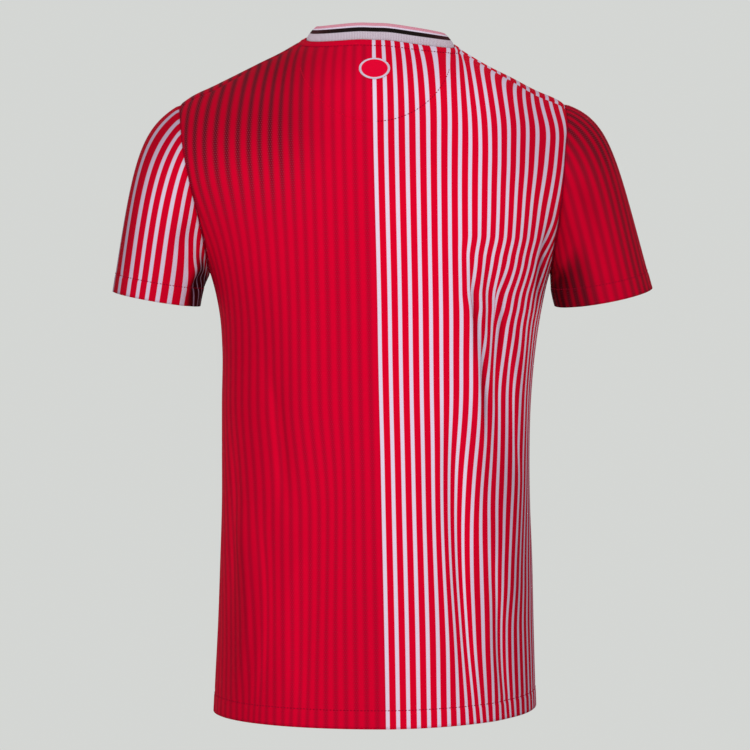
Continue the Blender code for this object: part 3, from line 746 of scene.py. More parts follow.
# How far the cloth stands up at hems and at the neck's strip, and dips along seams and stitching, and over
# what width. A turned edge ends over a short way to each side of its stitching.
HEM_RISE, HEM_END = 0.0004, (-0.0005, 0.0010)
STRIP_RISE, STRIP_END = 0.0007, (-0.0008, 0.0004)
HEM_DIP, HEM_DIP_WIDTH = 0.0005, 0.0013
STRIP_DIP, STRIP_DIP_WIDTH = 0.0007, 0.0016
MOON_DIP, MOON_DIP_WIDTH = 0.0004, 0.0014
SEAM_DIP, SEAM_DIP_WIDTH = 0.0008, 0.0022
SEAM_DIP_FROM_NECK = (0.004, 0.010)     # the shoulder seam's dip begins this far from the collar
EDGE_HOLD = 8           # the folds are gone at a panel's edge, from an eighth of its half width in


def fold_lift(points, panel):
    """How far the folds lift each point of a panel; its edges stay where the seams hold them."""
    lift = sum(fold_height(fold, points[..., 0], points[..., 2]) for fold in FOLDS[panel] + CREASES[panel])
    lift = lift + sum(tuck_lift(tuck, points[..., 0], points[..., 2]) for tuck in TUCKS[panel])
    edge = np.abs(points[..., 0] - (points[:, :1, 0] + points[:, -1:, 0]) / 2)
    edge = edge / (points[:, -1:, 0] - points[:, :1, 0]) * 2
    return lift * np.clip((1 - edge) * EDGE_HOLD, 0, 1)


def turned_edge(from_edge, deep, rise, end, dip, dip_width):
    """How far a turned edge stands up, as deep as its stitching, with a dip along the stitching."""
    return (rise * (1 - ramp(from_edge, deep + end[0], deep + end[1]))
            - dip * bump(from_edge - deep, dip_width))


def hem_relief(from_edge, deep):
    return turned_edge(from_edge, deep, HEM_RISE, HEM_END, HEM_DIP, HEM_DIP_WIDTH)


def distance_to(points, ring):
    """Distance from each point to the nearest point of a ring of points."""
    flat = points.reshape(-1, 3)
    nearest = np.full(len(flat), np.inf)
    for spot in ring:
        nearest = np.minimum(nearest, ((flat - spot) ** 2).sum(1))
    return np.sqrt(nearest).reshape(points.shape[:2])


def folded(points, panel):
    return points - panel * normals(points) * fold_lift(points, panel)[..., None]


class Panel:
    """The back or front panel: its points, its flat cut, and the lengths of cloth that place its seams."""

    def __init__(self, face):
        self.face = face
        self.points = folded(panel_grid(face), face)
        self.flat = flatten(self.points)
        line_x = section("centre", self.points[..., 2]) - STRIPE / 2
        self.cut = gathered(straighten(self.flat, self.points, line_x), self.points, face)

    def finish(self, ring):
        """Adds seams, hem and stitch lines to the cloth."""
        points = self.points
        self.from_hem = lengths_along(points, 0)
        to_top = self.from_hem[-1:] - self.from_hem
        along = lengths_along(points, 1)
        to_side = np.minimum(along, along[:, -1:] - along)
        self.from_neck = distance_to(points, ring)
        lift = hem_relief(self.from_hem, HEM_DEEP)
        lift = lift + turned_edge(self.from_neck, NECK_STRIP, STRIP_RISE, STRIP_END, STRIP_DIP,
                                  STRIP_DIP_WIDTH)
        lift = lift - SEAM_DIP * bump(to_side, SEAM_DIP_WIDTH)
        lift = lift - SEAM_DIP * bump(to_top, SEAM_DIP_WIDTH) * ramp(self.from_neck, *SEAM_DIP_FROM_NECK)
        if self.face == BACK:
            from_moon = np.hypot(points[..., 0] - MOON_X, points[..., 2] - MOON_Z) - MOON_RADIUS
            lift = lift - MOON_DIP * bump(from_moon, MOON_DIP_WIDTH)
        self.points = points - self.face * normals(points) * lift[..., None]


# Folds of the sleeves: how far round each starts and ends, in parts of a half turn from the top by the back
# to the underarm (the front is negative), how far down it starts and ends, of the sleeve's length, and its
# width in the same parts.
SleeveFold = namedtuple("SleeveFold", "turn_start turn_end start end width depth")
AT_UNDERARM = 0.999         # a point this part of a half turn round is at the underarm
SLEEVE_FOLDS_FROM = 0.1     # the armhole holds the cloth: its folds are whole this far down
SLEEVE_FOLDS = {
    "sleeve_left": table(SleeveFold,
        (0.86, 0.70, 0.10, 1.10, 0.050, 0.0022),
        (0.92, 0.79, 0.20, 1.10, 0.050, -0.0040),
        (0.50, 0.44, -0.10, 0.70, 0.090, 0.0022),
        (0.66, 0.56, 0.00, 0.80, 0.060, -0.0018),
        (-0.60, -0.50, 0.00, 0.85, 0.070, -0.0026),
        (-0.84, -0.68, 0.10, 1.10, 0.055, -0.0032),
        (-0.30, -0.36, 0.00, 0.60, 0.070, 0.0016),
    ),
    "sleeve_right": table(SleeveFold,
        (0.88, 0.72, 0.10, 1.10, 0.050, -0.0030),
        (0.60, 0.50, -0.10, 0.70, 0.080, 0.0022),
        (0.40, 0.42, 0.00, 0.80, 0.060, -0.0016),
        (-0.58, -0.48, 0.00, 0.85, 0.070, -0.0026),
        (-0.86, -0.70, 0.10, 1.10, 0.055, -0.0032),
        (-0.28, -0.34, 0.00, 0.60, 0.070, 0.0016),
    ),
}


def sleeve_fold_height(fold, part, down):
    """How far a sleeve's fold lifts the cloth, part of the way round and down."""
    run = (down - fold.start) / (fold.end - fold.start)
    path = fold.turn_start + (fold.turn_end - fold.turn_start) * run
    ends = np.sin(np.clip(run, 0, 1) * math.pi) ** 2 * ramp(down, 0, SLEEVE_FOLDS_FROM)
    return fold.depth * bump(part - path, fold.width) * ends


class SleeveCloth:
    """A sleeve's rings, opened along the underarm, with its flat cut."""

    def __init__(self, name, back, front):
        self.name, self.side = name, math.copysign(1, SLEEVES[name].cuff_x)
        rings = sleeve_grid(SLEEVES[name], back.points, front.points)
        turn = armhole_turns(armhole_ring(self.side, back.points, front.points)) / math.pi
        part = np.roll(np.where(turn > 1, turn - 2, turn), -YOKE_ROWS)
        rings = np.roll(rings, -YOKE_ROWS, axis=1)
        self.part = np.append(np.where(part > AT_UNDERARM, -1.0, part), 1.0)[None, :]
        self.down = np.linspace(0, 1, SLEEVE_ROWS + 1)[:, None]
        points = np.concatenate([rings, rings[:, :1]], axis=1)
        lift = sum(sleeve_fold_height(fold, self.part, self.down) for fold in SLEEVE_FOLDS[name])
        self.points = points + self.side * self.normals(points) * lift[..., None]
        grain = math.radians(SLEEVE_GRAIN)
        turned = np.array([[math.cos(grain), math.sin(grain)], [-math.sin(grain), math.cos(grain)]])
        self.flat = flatten(self.points)
        self.cut = self.flat @ turned
        if self.side < 0:
            u = self.cut[..., 0].copy()
            self.cut[..., 0] -= EASE_SHIFT + EASE * np.tanh((u - EASE_MIDDLE) / EASE_WIDTH)
            self.cut[..., 0] -= (LOOSE * np.clip(u - LOOSE_FROM, 0, LOOSE_REACH) ** 2
                                 * ramp(self.down, 0, LOOSE_DOWN))
            self.cut[..., 0] += OUTER * (1 - np.tanh((u - OUTER_MIDDLE) / OUTER_WIDTH))
        self.from_cuff = lengths_along(self.points[::-1], 0)[::-1]

    def normals(self, points):
        """Normals of the rings, which meet where the sleeve is opened."""
        return normals(np.concatenate([points[:, -2:-1], points, points[:, 1:2]], axis=1))[:, 1:-1]

    def finish(self):
        """Adds the cuff's hem and the seam at the armhole."""
        from_armhole = lengths_along(self.points, 0)
        lift = hem_relief(self.from_cuff, CUFF_DEEP) - SEAM_DIP * bump(from_armhole, SEAM_DIP_WIDTH)
        self.points = self.points + self.side * self.normals(self.points) * lift[..., None]


# ---------------------------------------------------------------- objects

def add_attribute(mesh, name, values):
    mesh.attributes.new(name, "FLOAT", "POINT").data.foreach_set("value", values.astype(np.float32).ravel())


def linked(name, mesh, material):
    """A smooth object of a mesh, which rides on the body."""
    mesh.shade_smooth()
    mesh.materials.append(material)
    made = bpy.data.objects.new(name, mesh)
    bpy.context.scene.collection.objects.link(made)
    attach(made, "root")
    return made


def plain_object(name, vertices, faces, material):
    mesh = bpy.data.meshes.new(name)
    mesh.from_pydata(np.asarray(vertices).tolist(), [], faces)
    return linked(name, mesh, material)


def grid_object(name, points, cut, material, flip=False, closed_across=False, closed_up=False):
    """A skin over a grid of points, with its flat cut as UV map. It may be closed to a ring either way."""
    index = vertex_grid(points)
    if closed_across:
        index = np.concatenate([index, index[:, :1]], axis=1)
    if closed_up:
        index, cut = np.concatenate([index, index[:1]]), np.concatenate([cut, cut[:1]])
    mesh = bpy.data.meshes.new(name)
    mesh.from_pydata(points.reshape(-1, 3).tolist(), [], cells(index, flip).tolist())
    mesh.uv_layers.new(name="cut").uv.foreach_set("vector", cells(cut, flip).astype(np.float32).ravel())
    return linked(name, mesh, material)


def cloth_object(name, points, cut, material, closed=False, flip=False, attributes=None):
    """A piece of cloth from a grid of points, with its wall half to each side of them."""
    if closed:
        points = points[:, :-1]
    made = grid_object(name, points, cut, material, flip, closed_across=closed)
    for key, values in attributes.items():
        add_attribute(made.data, key, values[:, : points.shape[1]])
    solidify = made.modifiers.new("wall", "SOLIDIFY")
    solidify.thickness = CLOTH
    solidify.offset = 0.0
    return made


# ---------------------------------------------------------------- materials

RED = (0.700, 0.000, 0.021)
HALF_RED = (0.670, 0.000, 0.025)        # of the plain half and the plain sleeve
TONAL = (0.450, 0.000, 0.021)
DARK = (0.175, 0.001, 0.014)            # of a tonal stripe where its mesh shows, and partly painted shade on the plain sleeve's inner side
WHITE = (0.730, 0.620, 0.770)
HOLE = (0.300, 0.090, 0.100)
# the colour that painted shade multiplies into the cloth's colours
SHADE = (0.240, 0.180, 0.240)
# the red thread, deepened to dark red by painted shade
SHADED_THREAD = (0.300, 0.000, 0.020)
UNDER_ARM_SHADOW = (0.040, 0.004, 0.008)      # painted shadow: the left sleeve's red under the arm
BLACK = (0.006, 0.006, 0.005)
# the rib's grey, and the same grey with painted shade in its grooves
RIB_GREY, RIB_GROOVE_SHADE = (0.600, 0.520, 0.600), (0.460, 0.380, 0.460)
PINK = (0.640, 0.270, 0.350)
PATCH_RED = (0.760, 0.000, 0.030)
SHEEN_TINT = (1.0, 0.20, 0.30, 1.0)
SPECULAR, SHEEN_ROUGHNESS = 0.015, 0.45
KNIT_SURFACE, RIB_SURFACE = (0.70, 0.015), (0.70, 0.15)         # roughness and sheen
THREAD_SURFACE, PATCH_SURFACE = (0.6, 0.1), (0.55, 0.05)

STRIPE_EDGE = 0.00025   # over which a stripe's edge blurs, to each side
TONAL_STRIPE, TONAL_EDGE = 0.0047, 0.00210
TONAL_WIDER = 0.0007    # how much wider each side of a plain sleeve's tonal stripe is where its mesh shows, and in the painted shade of its inner side
UNDER_THINNER = 0.0009  # how much narrower each side of the left sleeve's white stripes is under the arm, in its painted shadow
UNDER_ARM_SHADOW_SHARE = 0.9       # how strongly painted shadow darkens its red there
HALVES_EDGE = 0.0003    # over which the colour changes down the middle
DOT_ACROSS, DOT_ALONG = 0.0021, 0.0024  # from one hole of the mesh to the next
DOT_EDGE, DOT_CORE = 0.00062, 0.00036   # how far a hole reaches
DOT_LEAST, DOT_MORE = 0.12, 0.65        # how much of it shows where the tone is 0, and how much more at 1
MOTTLE, MOTTLE_SHARE = 90.0, 0.10       # scale and strength of the red's unevenness, and of the plain half's
FINE, FINE_SHARE = 900.0, 0.14
NOISE_LOW, NOISE_HIGH = 0.3, 0.7        # most of a noise lies between these
WALE, COURSE, COURSE_SHARE = 0.00105, 0.00095, 0.35     # the knit's ribs and rows
KNIT_BUMP, DOT_BUMP = 0.00006, -1.6

RIB_WALE, RIB_BUMP, RIB_EDGE = 0.0017, 0.00025, 0.0003
RIB_RISE = (-1.0, 0.2)  # the part of a rib's wave over which its colour turns from the painted shade of a groove to the ridge's grey
RibBand = namedtuple("RibBand", "start end colour")
RIB_BANDS = table(RibBand, (0.0084, 0.0132, BLACK), (0.0132, 0.0150, WHITE), (0.0150, 0.0300, PINK))

THREAD_MOTTLE, THREAD_SHARE = 600.0, 0.25
THREAD_DEEPER = 0.6     # what that unevenness leaves of a thread's colour
THREAD_STRAND, THREAD_BUMP = 0.0006, 0.00005
PATCH_EDGE = (0.83, 0.87)           # over this part of the way to its edge the patch turns from red to white
SATIN_STITCHES = 180.0              # round that edge
FIELD_STITCH, PATCH_BUMP = 0.0007, 0.00012

MIX_FIRST, MIX_SECOND, MIX_RESULT = 6, 7, 2     # where a mix node has the sockets of its colours


class Cloth:
    """A material of a cloth, whose nodes are built from plain sums. u and v are metres on the flat cut."""

    def __init__(self, name, roughness, sheen):
        self.material = bpy.data.materials.new(name)
        self.material.use_nodes = True
        self.tree = self.material.node_tree
        self.shader = self.tree.nodes["Principled BSDF"]
        self.shader.inputs["Roughness"].default_value = roughness
        self.shader.inputs["Specular IOR Level"].default_value = SPECULAR
        self.shader.inputs["Sheen Weight"].default_value = sheen
        self.shader.inputs["Sheen Roughness"].default_value = SHEEN_ROUGHNESS
        self.shader.inputs["Sheen Tint"].default_value = SHEEN_TINT
        places = self.node("ShaderNodeSeparateXYZ", self.node("ShaderNodeUVMap", uv_map="cut").outputs["UV"])
        self.u, self.v = places.outputs["X"], places.outputs["Y"]

    def node(self, kind, *inputs, **settings):
        made = self.tree.nodes.new(kind)
        for key, value in settings.items():
            setattr(made, key, value)
        for socket, value in zip(made.inputs, inputs):
            self.feed(socket, value)
        return made

    def feed(self, socket, value):
        if isinstance(value, bpy.types.NodeSocket):
            self.tree.links.new(value, socket)
        else:
            socket.default_value = value

    def math(self, operation, *values):
        return self.node("ShaderNodeMath", *values, operation=operation).outputs[0]

    def times(self, first, second):
        return self.math("MULTIPLY", first, second)

    def wave(self, value, length):
        """A cosine of a value, with a wave length."""
        return self.math("COSINE", self.times(value, 2 * math.pi / length))

    def between(self, value, low, high):
        """0 where value is below low, rising smoothly to 1 at high."""
        made = self.node("ShaderNodeMapRange", value, low, high, 0.0, 1.0, interpolation_type="SMOOTHSTEP")
        return made.outputs[0]

    def mix(self, share, first, second, how="MIX"):
        made = self.node("ShaderNodeMix", data_type="RGBA", blend_type=how)
        self.feed(made.inputs[0], share)
        for socket, colour in ((MIX_FIRST, first), (MIX_SECOND, second)):
            self.feed(made.inputs[socket],
                      colour if isinstance(colour, bpy.types.NodeSocket) else (*colour, 1.0))
        return made.outputs[MIX_RESULT]

    def shaded(self, colour):
        """A colour, deeper where the cloth lies in a crease or away from the light."""
        return self.mix(self.attribute("shade"), colour, SHADE, how="MULTIPLY")

    def attribute(self, name):
        return self.node("ShaderNodeAttribute", attribute_name=name).outputs["Fac"]

    def to_middle(self, value, pitch, shift=0.0):
        """Distance to the middle of the nearest of the lines that lie a pitch apart."""
        turns = self.math("FRACT", self.math("MULTIPLY_ADD", value, 1 / pitch, shift / pitch))
        return self.math("MULTIPLY", self.math("ABSOLUTE", self.math("SUBTRACT", turns, 0.5)), pitch)

    def place(self):
        return self.node("ShaderNodeTexCoord").outputs["Object"]

    def noise(self, scale, detail=2.0):
        made = self.node("ShaderNodeTexNoise", noise_dimensions="3D")
        for name, value in (("Vector", self.place()), ("Scale", scale), ("Detail", detail)):
            self.feed(made.inputs[name], value)
        return made.outputs["Fac"]

    def uneven(self, scale, detail=2.0):
        """A noise that runs the whole way from 0 to 1."""
        return self.between(self.noise(scale, detail), NOISE_LOW, NOISE_HIGH)

    def bump(self, height, distance):
        made = self.node("ShaderNodeBump")
        for name, value in (("Strength", 1.0), ("Distance", distance), ("Height", height)):
            self.feed(made.inputs[name], value)
        self.feed(self.shader.inputs["Normal"], made.outputs[0])

    def colour(self, value):
        self.feed(self.shader.inputs["Base Color"], value)


def mesh_dots(cloth, u, v):
    """1 in the holes of the mesh, which lie in staggered rows, and 0 beside them."""
    row = cloth.math("FLOOR", cloth.times(v, 1 / DOT_ALONG))
    stagger = cloth.times(cloth.math("MODULO", row, 2.0), DOT_ACROSS / 2)
    across_dot = cloth.to_middle(cloth.math("ADD", u, stagger), DOT_ACROSS)
    along_dot = cloth.to_middle(v, DOT_ALONG)
    away = cloth.math("SQRT", cloth.math("ADD", cloth.math("POWER", across_dot, 2.0),
                                         cloth.math("POWER", along_dot, 2.0)))
    return cloth.between(away, DOT_EDGE, DOT_CORE)


def past_tucks(cloth, u):
    """u with what the tucks swallow added beyond each."""
    for tuck in TUCKS[BACK]:
        beyond = cloth.math("GREATER_THAN", u, (tuck.stripe - 1) * PITCH + STRIPE + TUCK_EDGE)
        u = cloth.math("MULTIPLY_ADD", beyond, cloth.times(cloth.attribute(f"tuck_{tuck.stripe}"), PITCH), u)
    return u


def striped(name, white_share):
    """The knit with its stripes: white_share is 1 for pinstripes, 0 for tonal ones, None for both halves."""
    cloth = Cloth(name, *KNIT_SURFACE)
    u, v = cloth.u, cloth.v
    if white_share is None:
        u = past_tucks(cloth, u)
    from_middle = cloth.to_middle(u, PITCH, PITCH / 2 - STRIPE / 2)
    tone_and_shadow = cloth.attribute("tone_and_shadow")
    # under the left arm the white stripes narrow, in its painted shadow
    if white_share == 1.0:
        from_middle = cloth.math("MULTIPLY_ADD", tone_and_shadow, UNDER_THINNER, from_middle)
    band = cloth.between(from_middle, STRIPE / 2 + STRIPE_EDGE, STRIPE / 2 - STRIPE_EDGE)
    if white_share == 0.0:
        from_middle = cloth.math("MULTIPLY_ADD", tone_and_shadow, -TONAL_WIDER, from_middle)
    soft_band = cloth.between(from_middle, TONAL_STRIPE / 2 + TONAL_EDGE, TONAL_STRIPE / 2 - TONAL_EDGE)
    soft_band = cloth.times(soft_band, cloth.math("SUBTRACT", 1.0, cloth.attribute("strip")))
    dot = mesh_dots(cloth, u, v)
    red = cloth.mix(cloth.times(cloth.uneven(MOTTLE), MOTTLE_SHARE), RED, TONAL)
    # painted shadow: under the left arm the pinstriped sleeve's red deepens to nearly black
    if white_share == 1.0:
        red = cloth.mix(cloth.times(tone_and_shadow, UNDER_ARM_SHADOW_SHARE), red, UNDER_ARM_SHADOW)
    half_red = cloth.mix(cloth.times(cloth.uneven(FINE, 1.0), FINE_SHARE), HALF_RED, TONAL)
    shown = cloth.times(dot, cloth.math("MULTIPLY_ADD", tone_and_shadow, DOT_MORE, DOT_LEAST))
    tonal = cloth.mix(soft_band, half_red, cloth.mix(shown, cloth.mix(tone_and_shadow, TONAL, DARK), HOLE))
    white = cloth.mix(band, red, WHITE)
    if white_share is None:
        white_share = cloth.between(u, -HALVES_EDGE, HALVES_EDGE)
    cloth.colour(cloth.shaded(cloth.mix(white_share, tonal, white)))
    height = cloth.math("MULTIPLY_ADD", cloth.wave(v, COURSE), COURSE_SHARE, cloth.wave(u, WALE))
    cloth.bump(cloth.math("MULTIPLY_ADD", cloth.times(dot, band), DOT_BUMP, height), KNIT_BUMP)
    return cloth.material


def rib_cloth():
    """The collar's rib: grey-mauve with painted shade in its grooves, a black stripe, a white line and a pink
    top.
    """
    cloth = Cloth("collar_rib", *RIB_SURFACE)
    rib = cloth.wave(cloth.u, RIB_WALE)
    colour = cloth.mix(cloth.between(rib, *RIB_RISE), RIB_GROOVE_SHADE, RIB_GREY)
    for band in RIB_BANDS:
        inside = cloth.times(cloth.between(cloth.v, band.start - RIB_EDGE, band.start + RIB_EDGE),
                             cloth.between(cloth.v, band.end + RIB_EDGE, band.end - RIB_EDGE))
        colour = cloth.mix(inside, colour, band.colour)
    cloth.colour(colour)
    cloth.bump(rib, RIB_BUMP)
    return cloth.material


def thread_cloth(name, colour):
    """Thread: a colour with a fine unevenness."""
    cloth = Cloth(name, *THREAD_SURFACE)
    deeper = tuple(THREAD_DEEPER * part for part in colour)
    cloth.colour(cloth.mix(cloth.times(cloth.uneven(THREAD_MOTTLE), THREAD_SHARE), colour, deeper))
    cloth.bump(cloth.noise(1 / THREAD_STRAND, 1.0), THREAD_BUMP)
    return cloth.material


def patch_cloth():
    """Embroidery: a red field with a white satin-stitched edge."""
    cloth = Cloth("patch_embroidery", *PATCH_SURFACE)
    edge = cloth.between(cloth.attribute("radial"), *PATCH_EDGE)
    cloth.colour(cloth.mix(edge, PATCH_RED, WHITE))
    satin = cloth.times(edge, cloth.math("COSINE", cloth.times(cloth.attribute("turn"), SATIN_STITCHES)))
    height = cloth.node("ShaderNodeSeparateXYZ", cloth.place()).outputs["Z"]
    field = cloth.times(cloth.math("SUBTRACT", 1.0, edge), cloth.wave(height, FIELD_STITCH))
    cloth.bump(cloth.math("ADD", satin, field), PATCH_BUMP)
    return cloth.material


# ---------------------------------------------------------------- the garment

def collar_points(ring):
    """The folded band of the collar as rings of points: up its outside, over its fold and down its inside."""
    steps = unit(np.roll(ring, -1, axis=0) - ring)
    ahead = steps + np.roll(steps, 1, axis=0)
    inward = unit(np.stack([-ahead[:, 1], ahead[:, 0], np.zeros(len(ring))], axis=1))
    turns = np.degrees(np.arctan2(np.abs(ring[:, 0] - NECK_MIDDLE), -ring[:, 1] - NECK_SEAM_BACK))
    lean = np.radians(smooth(turns, column(COLLAR_LEANS, "turn"), column(COLLAR_LEANS, "lean")))
    rise = inward * np.sin(lean)[:, None] + np.outer(np.cos(lean), (0, 0, 1))
    outward = np.outer(np.sin(lean), (0, 0, 1)) - inward * np.cos(lean)[:, None]
    rows, heights = [], []
    for turn in np.linspace(0, 2 * math.pi, COLLAR_ROUND, endpoint=False):
        along = (1 - math.cos(turn)) / 2 + COLLAR_SLANT * math.sin(2 * turn)
        side = math.copysign(1, math.sin(turn)) * abs(math.sin(turn)) ** COLLAR_SQUARE * RIB / 2
        rows.append(ring + rise * (COLLAR_CLEAR + COLLAR_WIDTH * along)
                    + outward * (COLLAR_BOW * 4 * along * (1 - along) + side))
        heights.append(COLLAR_WIDTH * along)
    round_neck = path_lengths(ring)
    round_neck = np.append(round_neck, round_neck[-1] + np.linalg.norm(ring[0] - ring[-1]))
    cut = np.stack(np.broadcast_arrays(round_neck[None, :], np.array(heights)[:, None]), axis=-1)
    return np.stack(rows), cut, round_neck[-1]


# Where painted shade deepens the cloth's colours (the SHADE tables), and where the mesh of its tonal stripes
# shows, which on the sleeves also holds painted shadow by the armpit and the body (the TONE tables). A zone's
# amount is reached from nothing over two stretches: across and up (x and z, on a panel), or round and down
# (in parts of a half turn from the top, and of the length, on a sleeve).
Zone = namedtuple("Zone", "amount across along")
ALL = (-9.0, -8.0)      # a stretch that lies before everything
PANEL_SHADE = table(Zone,
    (0.40, (-0.02, -0.10), (-0.160, -0.085)),       # over the left shoulder
    (0.05, (-0.06, -0.17), ALL),                    # the left side
    (0.20, (-0.06, -0.17), (-0.20, -0.32)),
    (0.22, (0.10, 0.17), ALL),                      # the right side
    (0.10, (0.10, 0.17), (-0.18, -0.12)),
    (0.15, (0.10, 0.17), (-0.30, -0.36)),
    (0.20, (0.05, 0.12), (-0.36, -0.46)),           # low on the pinstriped half
    (0.08, ALL, (-0.30, -0.72)),                    # towards the hem
    (0.10, (-0.01, 0.01), (-0.20, -0.10)),          # the pinstriped shoulder
    (0.18, ALL, (-0.070, -0.020)),                  # along the neck
)
CREASE_SHADE, TUCK_SHADE, SLOPE_SHADE, SLOPE_MOST = 0.22, 0.60, 0.35, 0.8
TUCK_SHADE_WIDTH = 1.2  # in crease widths
STRIP_BLUR = 0.0005     # over which the neck strip's edge blurs, to each side
PANEL_TONE = table(Zone, (1.0, (-0.045, -0.110), (-0.215, -0.11)))
# the underside by the armpit, where both sleeves get painted shade and the left one painted shadow
UNDER_ARM = ((0.73, 0.84), (0.05, 0.38))
SLEEVE_SHADE = {
    "sleeve_left": table(Zone,
        (0.18, ALL, ALL), (0.46, (0.40, 0.10), ALL), (0.55, *UNDER_ARM), (0.12, ALL, (0.4, 0.9))),
    "sleeve_right": table(Zone,
        (0.28, ALL, ALL), (0.26, (0.40, 0.10), ALL), (0.35, *UNDER_ARM), (0.45, (0.50, 0.66), (0.45, 0.75))),
}
SLEEVE_CREASE_SHADE = 0.15
SLEEVE_TONE_AND_SHADOW = {
    # the left sleeve's tone is only painted shadow under the arm
    "sleeve_left": table(Zone, (1.0, *UNDER_ARM)),
    # on its inner side by the body the tone is partly its mesh and partly painted shade
    "sleeve_right": table(Zone, (0.10, ALL, ALL), (0.80, (0.50, 0.66), (0.45, 0.75))),
}
# The plain sleeve's mesh also shows near its top line, and in a band behind it all the way down.
TOP_TONE, TOP_MIDDLE, TOP_PARTS, TOP_DOWN = 0.85, 0.12, (0.20, 0.05), (0.65, 0.35)
BESIDE_TONE, BESIDE_START, BESIDE_END = 0.50, (0.08, 0.20), (0.42, 0.25)


def zoned(zones, across, along):
    """The sum of a table's zones."""
    return sum(zone.amount * ramp(across, *zone.across) * ramp(along, *zone.along) for zone in zones)


def panel_attributes(panel):
    """What a panel's material reads: its painted shade, its tone, its neck strip, and what its tucks swallow.
    """
    points, face = panel.points, panel.face
    x, z = points[..., 0], points[..., 2]
    crease = sum(fold_height(fold, x, z) / abs(fold.depth) for fold in CREASES[face] if fold.depth < 0)
    tucked = sum(tuck_show(tuck, z) * bump(x - tuck_at(tuck, z)[0], TUCK_SHADE_WIDTH * TUCK_WIDTH)
                 for tuck in TUCKS[face])
    lift = sum(fold_height(fold, x, z) for fold in FOLDS[face] + CREASES[face])
    slope = np.abs(np.gradient(lift, axis=1) / np.maximum(np.gradient(x, axis=1), LEAST_STEP))
    # painted shade: the zones, and deeper in creases and tucks and on the slopes of folds
    shade = (zoned(PANEL_SHADE, x, z) + CREASE_SHADE * crease + TUCK_SHADE * tucked
             + SLOPE_SHADE * np.clip(slope, 0, SLOPE_MOST))
    return {"shade": np.clip(shade, 0, 1), "tone_and_shadow": zoned(PANEL_TONE, x, z),
            "strip": 1 - ramp(panel.from_neck, NECK_STRIP - STRIP_BLUR, NECK_STRIP + STRIP_BLUR),
            **{f"tuck_{tuck.stripe}": tuck_at(tuck, z)[1] for tuck in TUCKS[face]}}


def sleeve_attributes(sleeve):
    """The painted shade of a sleeve, and its tone: its mesh, and painted shadow by the armpit and the body.
    """
    part, down = sleeve.part, sleeve.down
    crease = sum(np.abs(sleeve_fold_height(fold, part, down) / fold.depth)
                 for fold in SLEEVE_FOLDS[sleeve.name] if fold.depth < 0)
    # painted shade of the sleeve, deeper in its creases
    shade = zoned(SLEEVE_SHADE[sleeve.name], np.abs(part), down) + SLEEVE_CREASE_SHADE * crease
    tone_and_shadow = zoned(SLEEVE_TONE_AND_SHADOW[sleeve.name], np.abs(part), down)
    if sleeve.name == "sleeve_right":
        top = ramp(np.abs(part - TOP_MIDDLE), *TOP_PARTS) * ramp(down, *TOP_DOWN)
        beside = ramp(np.abs(part), *BESIDE_START) * ramp(np.abs(part), *BESIDE_END)
        tone_and_shadow = tone_and_shadow + np.maximum(TOP_TONE * top, BESIDE_TONE * beside)
    return {"shade": np.clip(shade, 0, 1), "tone_and_shadow": np.clip(tone_and_shadow, 0, 1)}


# ---------------------------------------------------------------- stitches, seams and the patch

STITCH, STITCH_STEP, STITCH_RADIUS = 0.0024, 0.0035, 0.00042
STITCH_SIDES, STITCH_TAPER = 5, 0.22    # a stitch narrows to a point over this share of it, at each end
STITCH_PATH = 200       # points on the path of a row of stitches
SEAM_RADIUS, SEAM_SIDES = 0.0006, 6
AWAY_FROM_SEAMS = (0.31, 0.87, 0.38)    # a direction in which no seam runs


def contour(points, measure, level, columns):
    """Where a measure first passes a level on the way down each of some columns from the top edge."""
    found = []
    for k in columns:
        values = measure[::-1, k] - level
        crossed = np.nonzero((values[:-1] <= 0) & (values[1:] > 0))[0]
        if len(crossed):
            row = crossed[0]
            share = values[row] / (values[row] - values[row + 1])
            line = points[::-1, k]
            found.append(line[row] * (1 - share) + line[row + 1] * share)
    return np.array(found)


def stitched(name, path, points, out, material):
    """A row of stitches along a path on a grid of points, lying on the cloth's outer side."""
    path = resample(path, STITCH_PATH)
    flat, flat_normals = points.reshape(-1, 3), (out * normals(points)).reshape(-1, 3)
    up = flat_normals[[np.argmin(((flat - spot) ** 2).sum(1)) for spot in path]]
    made = thread_object(name, path + up * (CLOTH / 2 + STITCH_RADIUS / 3), up, material)
    return made


def thread_object(name, path, faces_out, material):
    """A row of stitches along a path: each a short bead of thread, lying along it."""
    lengths = path_lengths(path)
    count = int(lengths[-1] / STITCH_STEP)
    middles = (np.arange(count) + 0.5) * lengths[-1] / count

    def at(where, values):
        return np.stack([np.interp(where, lengths, part) for part in values.T], axis=1)

    start, end = at(middles - STITCH / 2, path), at(middles + STITCH / 2, path)
    along = unit(end - start)
    side = unit(np.cross(along, at(middles, faces_out)))
    up = np.cross(side, along)
    spots, faces, sides = [], [], STITCH_SIDES
    for share, spokes in ((0.0, 1), (STITCH_TAPER, sides), (1 - STITCH_TAPER, sides), (1.0, 1)):
        radius = STITCH_RADIUS if spokes > 1 else 0.0
        for k in range(spokes):
            angle = 2 * math.pi * k / sides
            out = radius * (np.cos(angle) * side + np.sin(angle) * up)
            spots.append(start + (end - start) * share + out)
    vertices = np.stack(spots, axis=1).reshape(-1, 3)
    total = 2 * sides + 2
    for base in range(0, count * total, total):
        for k in range(sides):
            here, after = base + 1 + k, base + 1 + (k + 1) % sides
            faces += [(base, after, here), (here, after, sides + after, sides + here),
                      (sides + here, sides + after, base + total - 1)]
    return plain_object(name, vertices, faces, material)


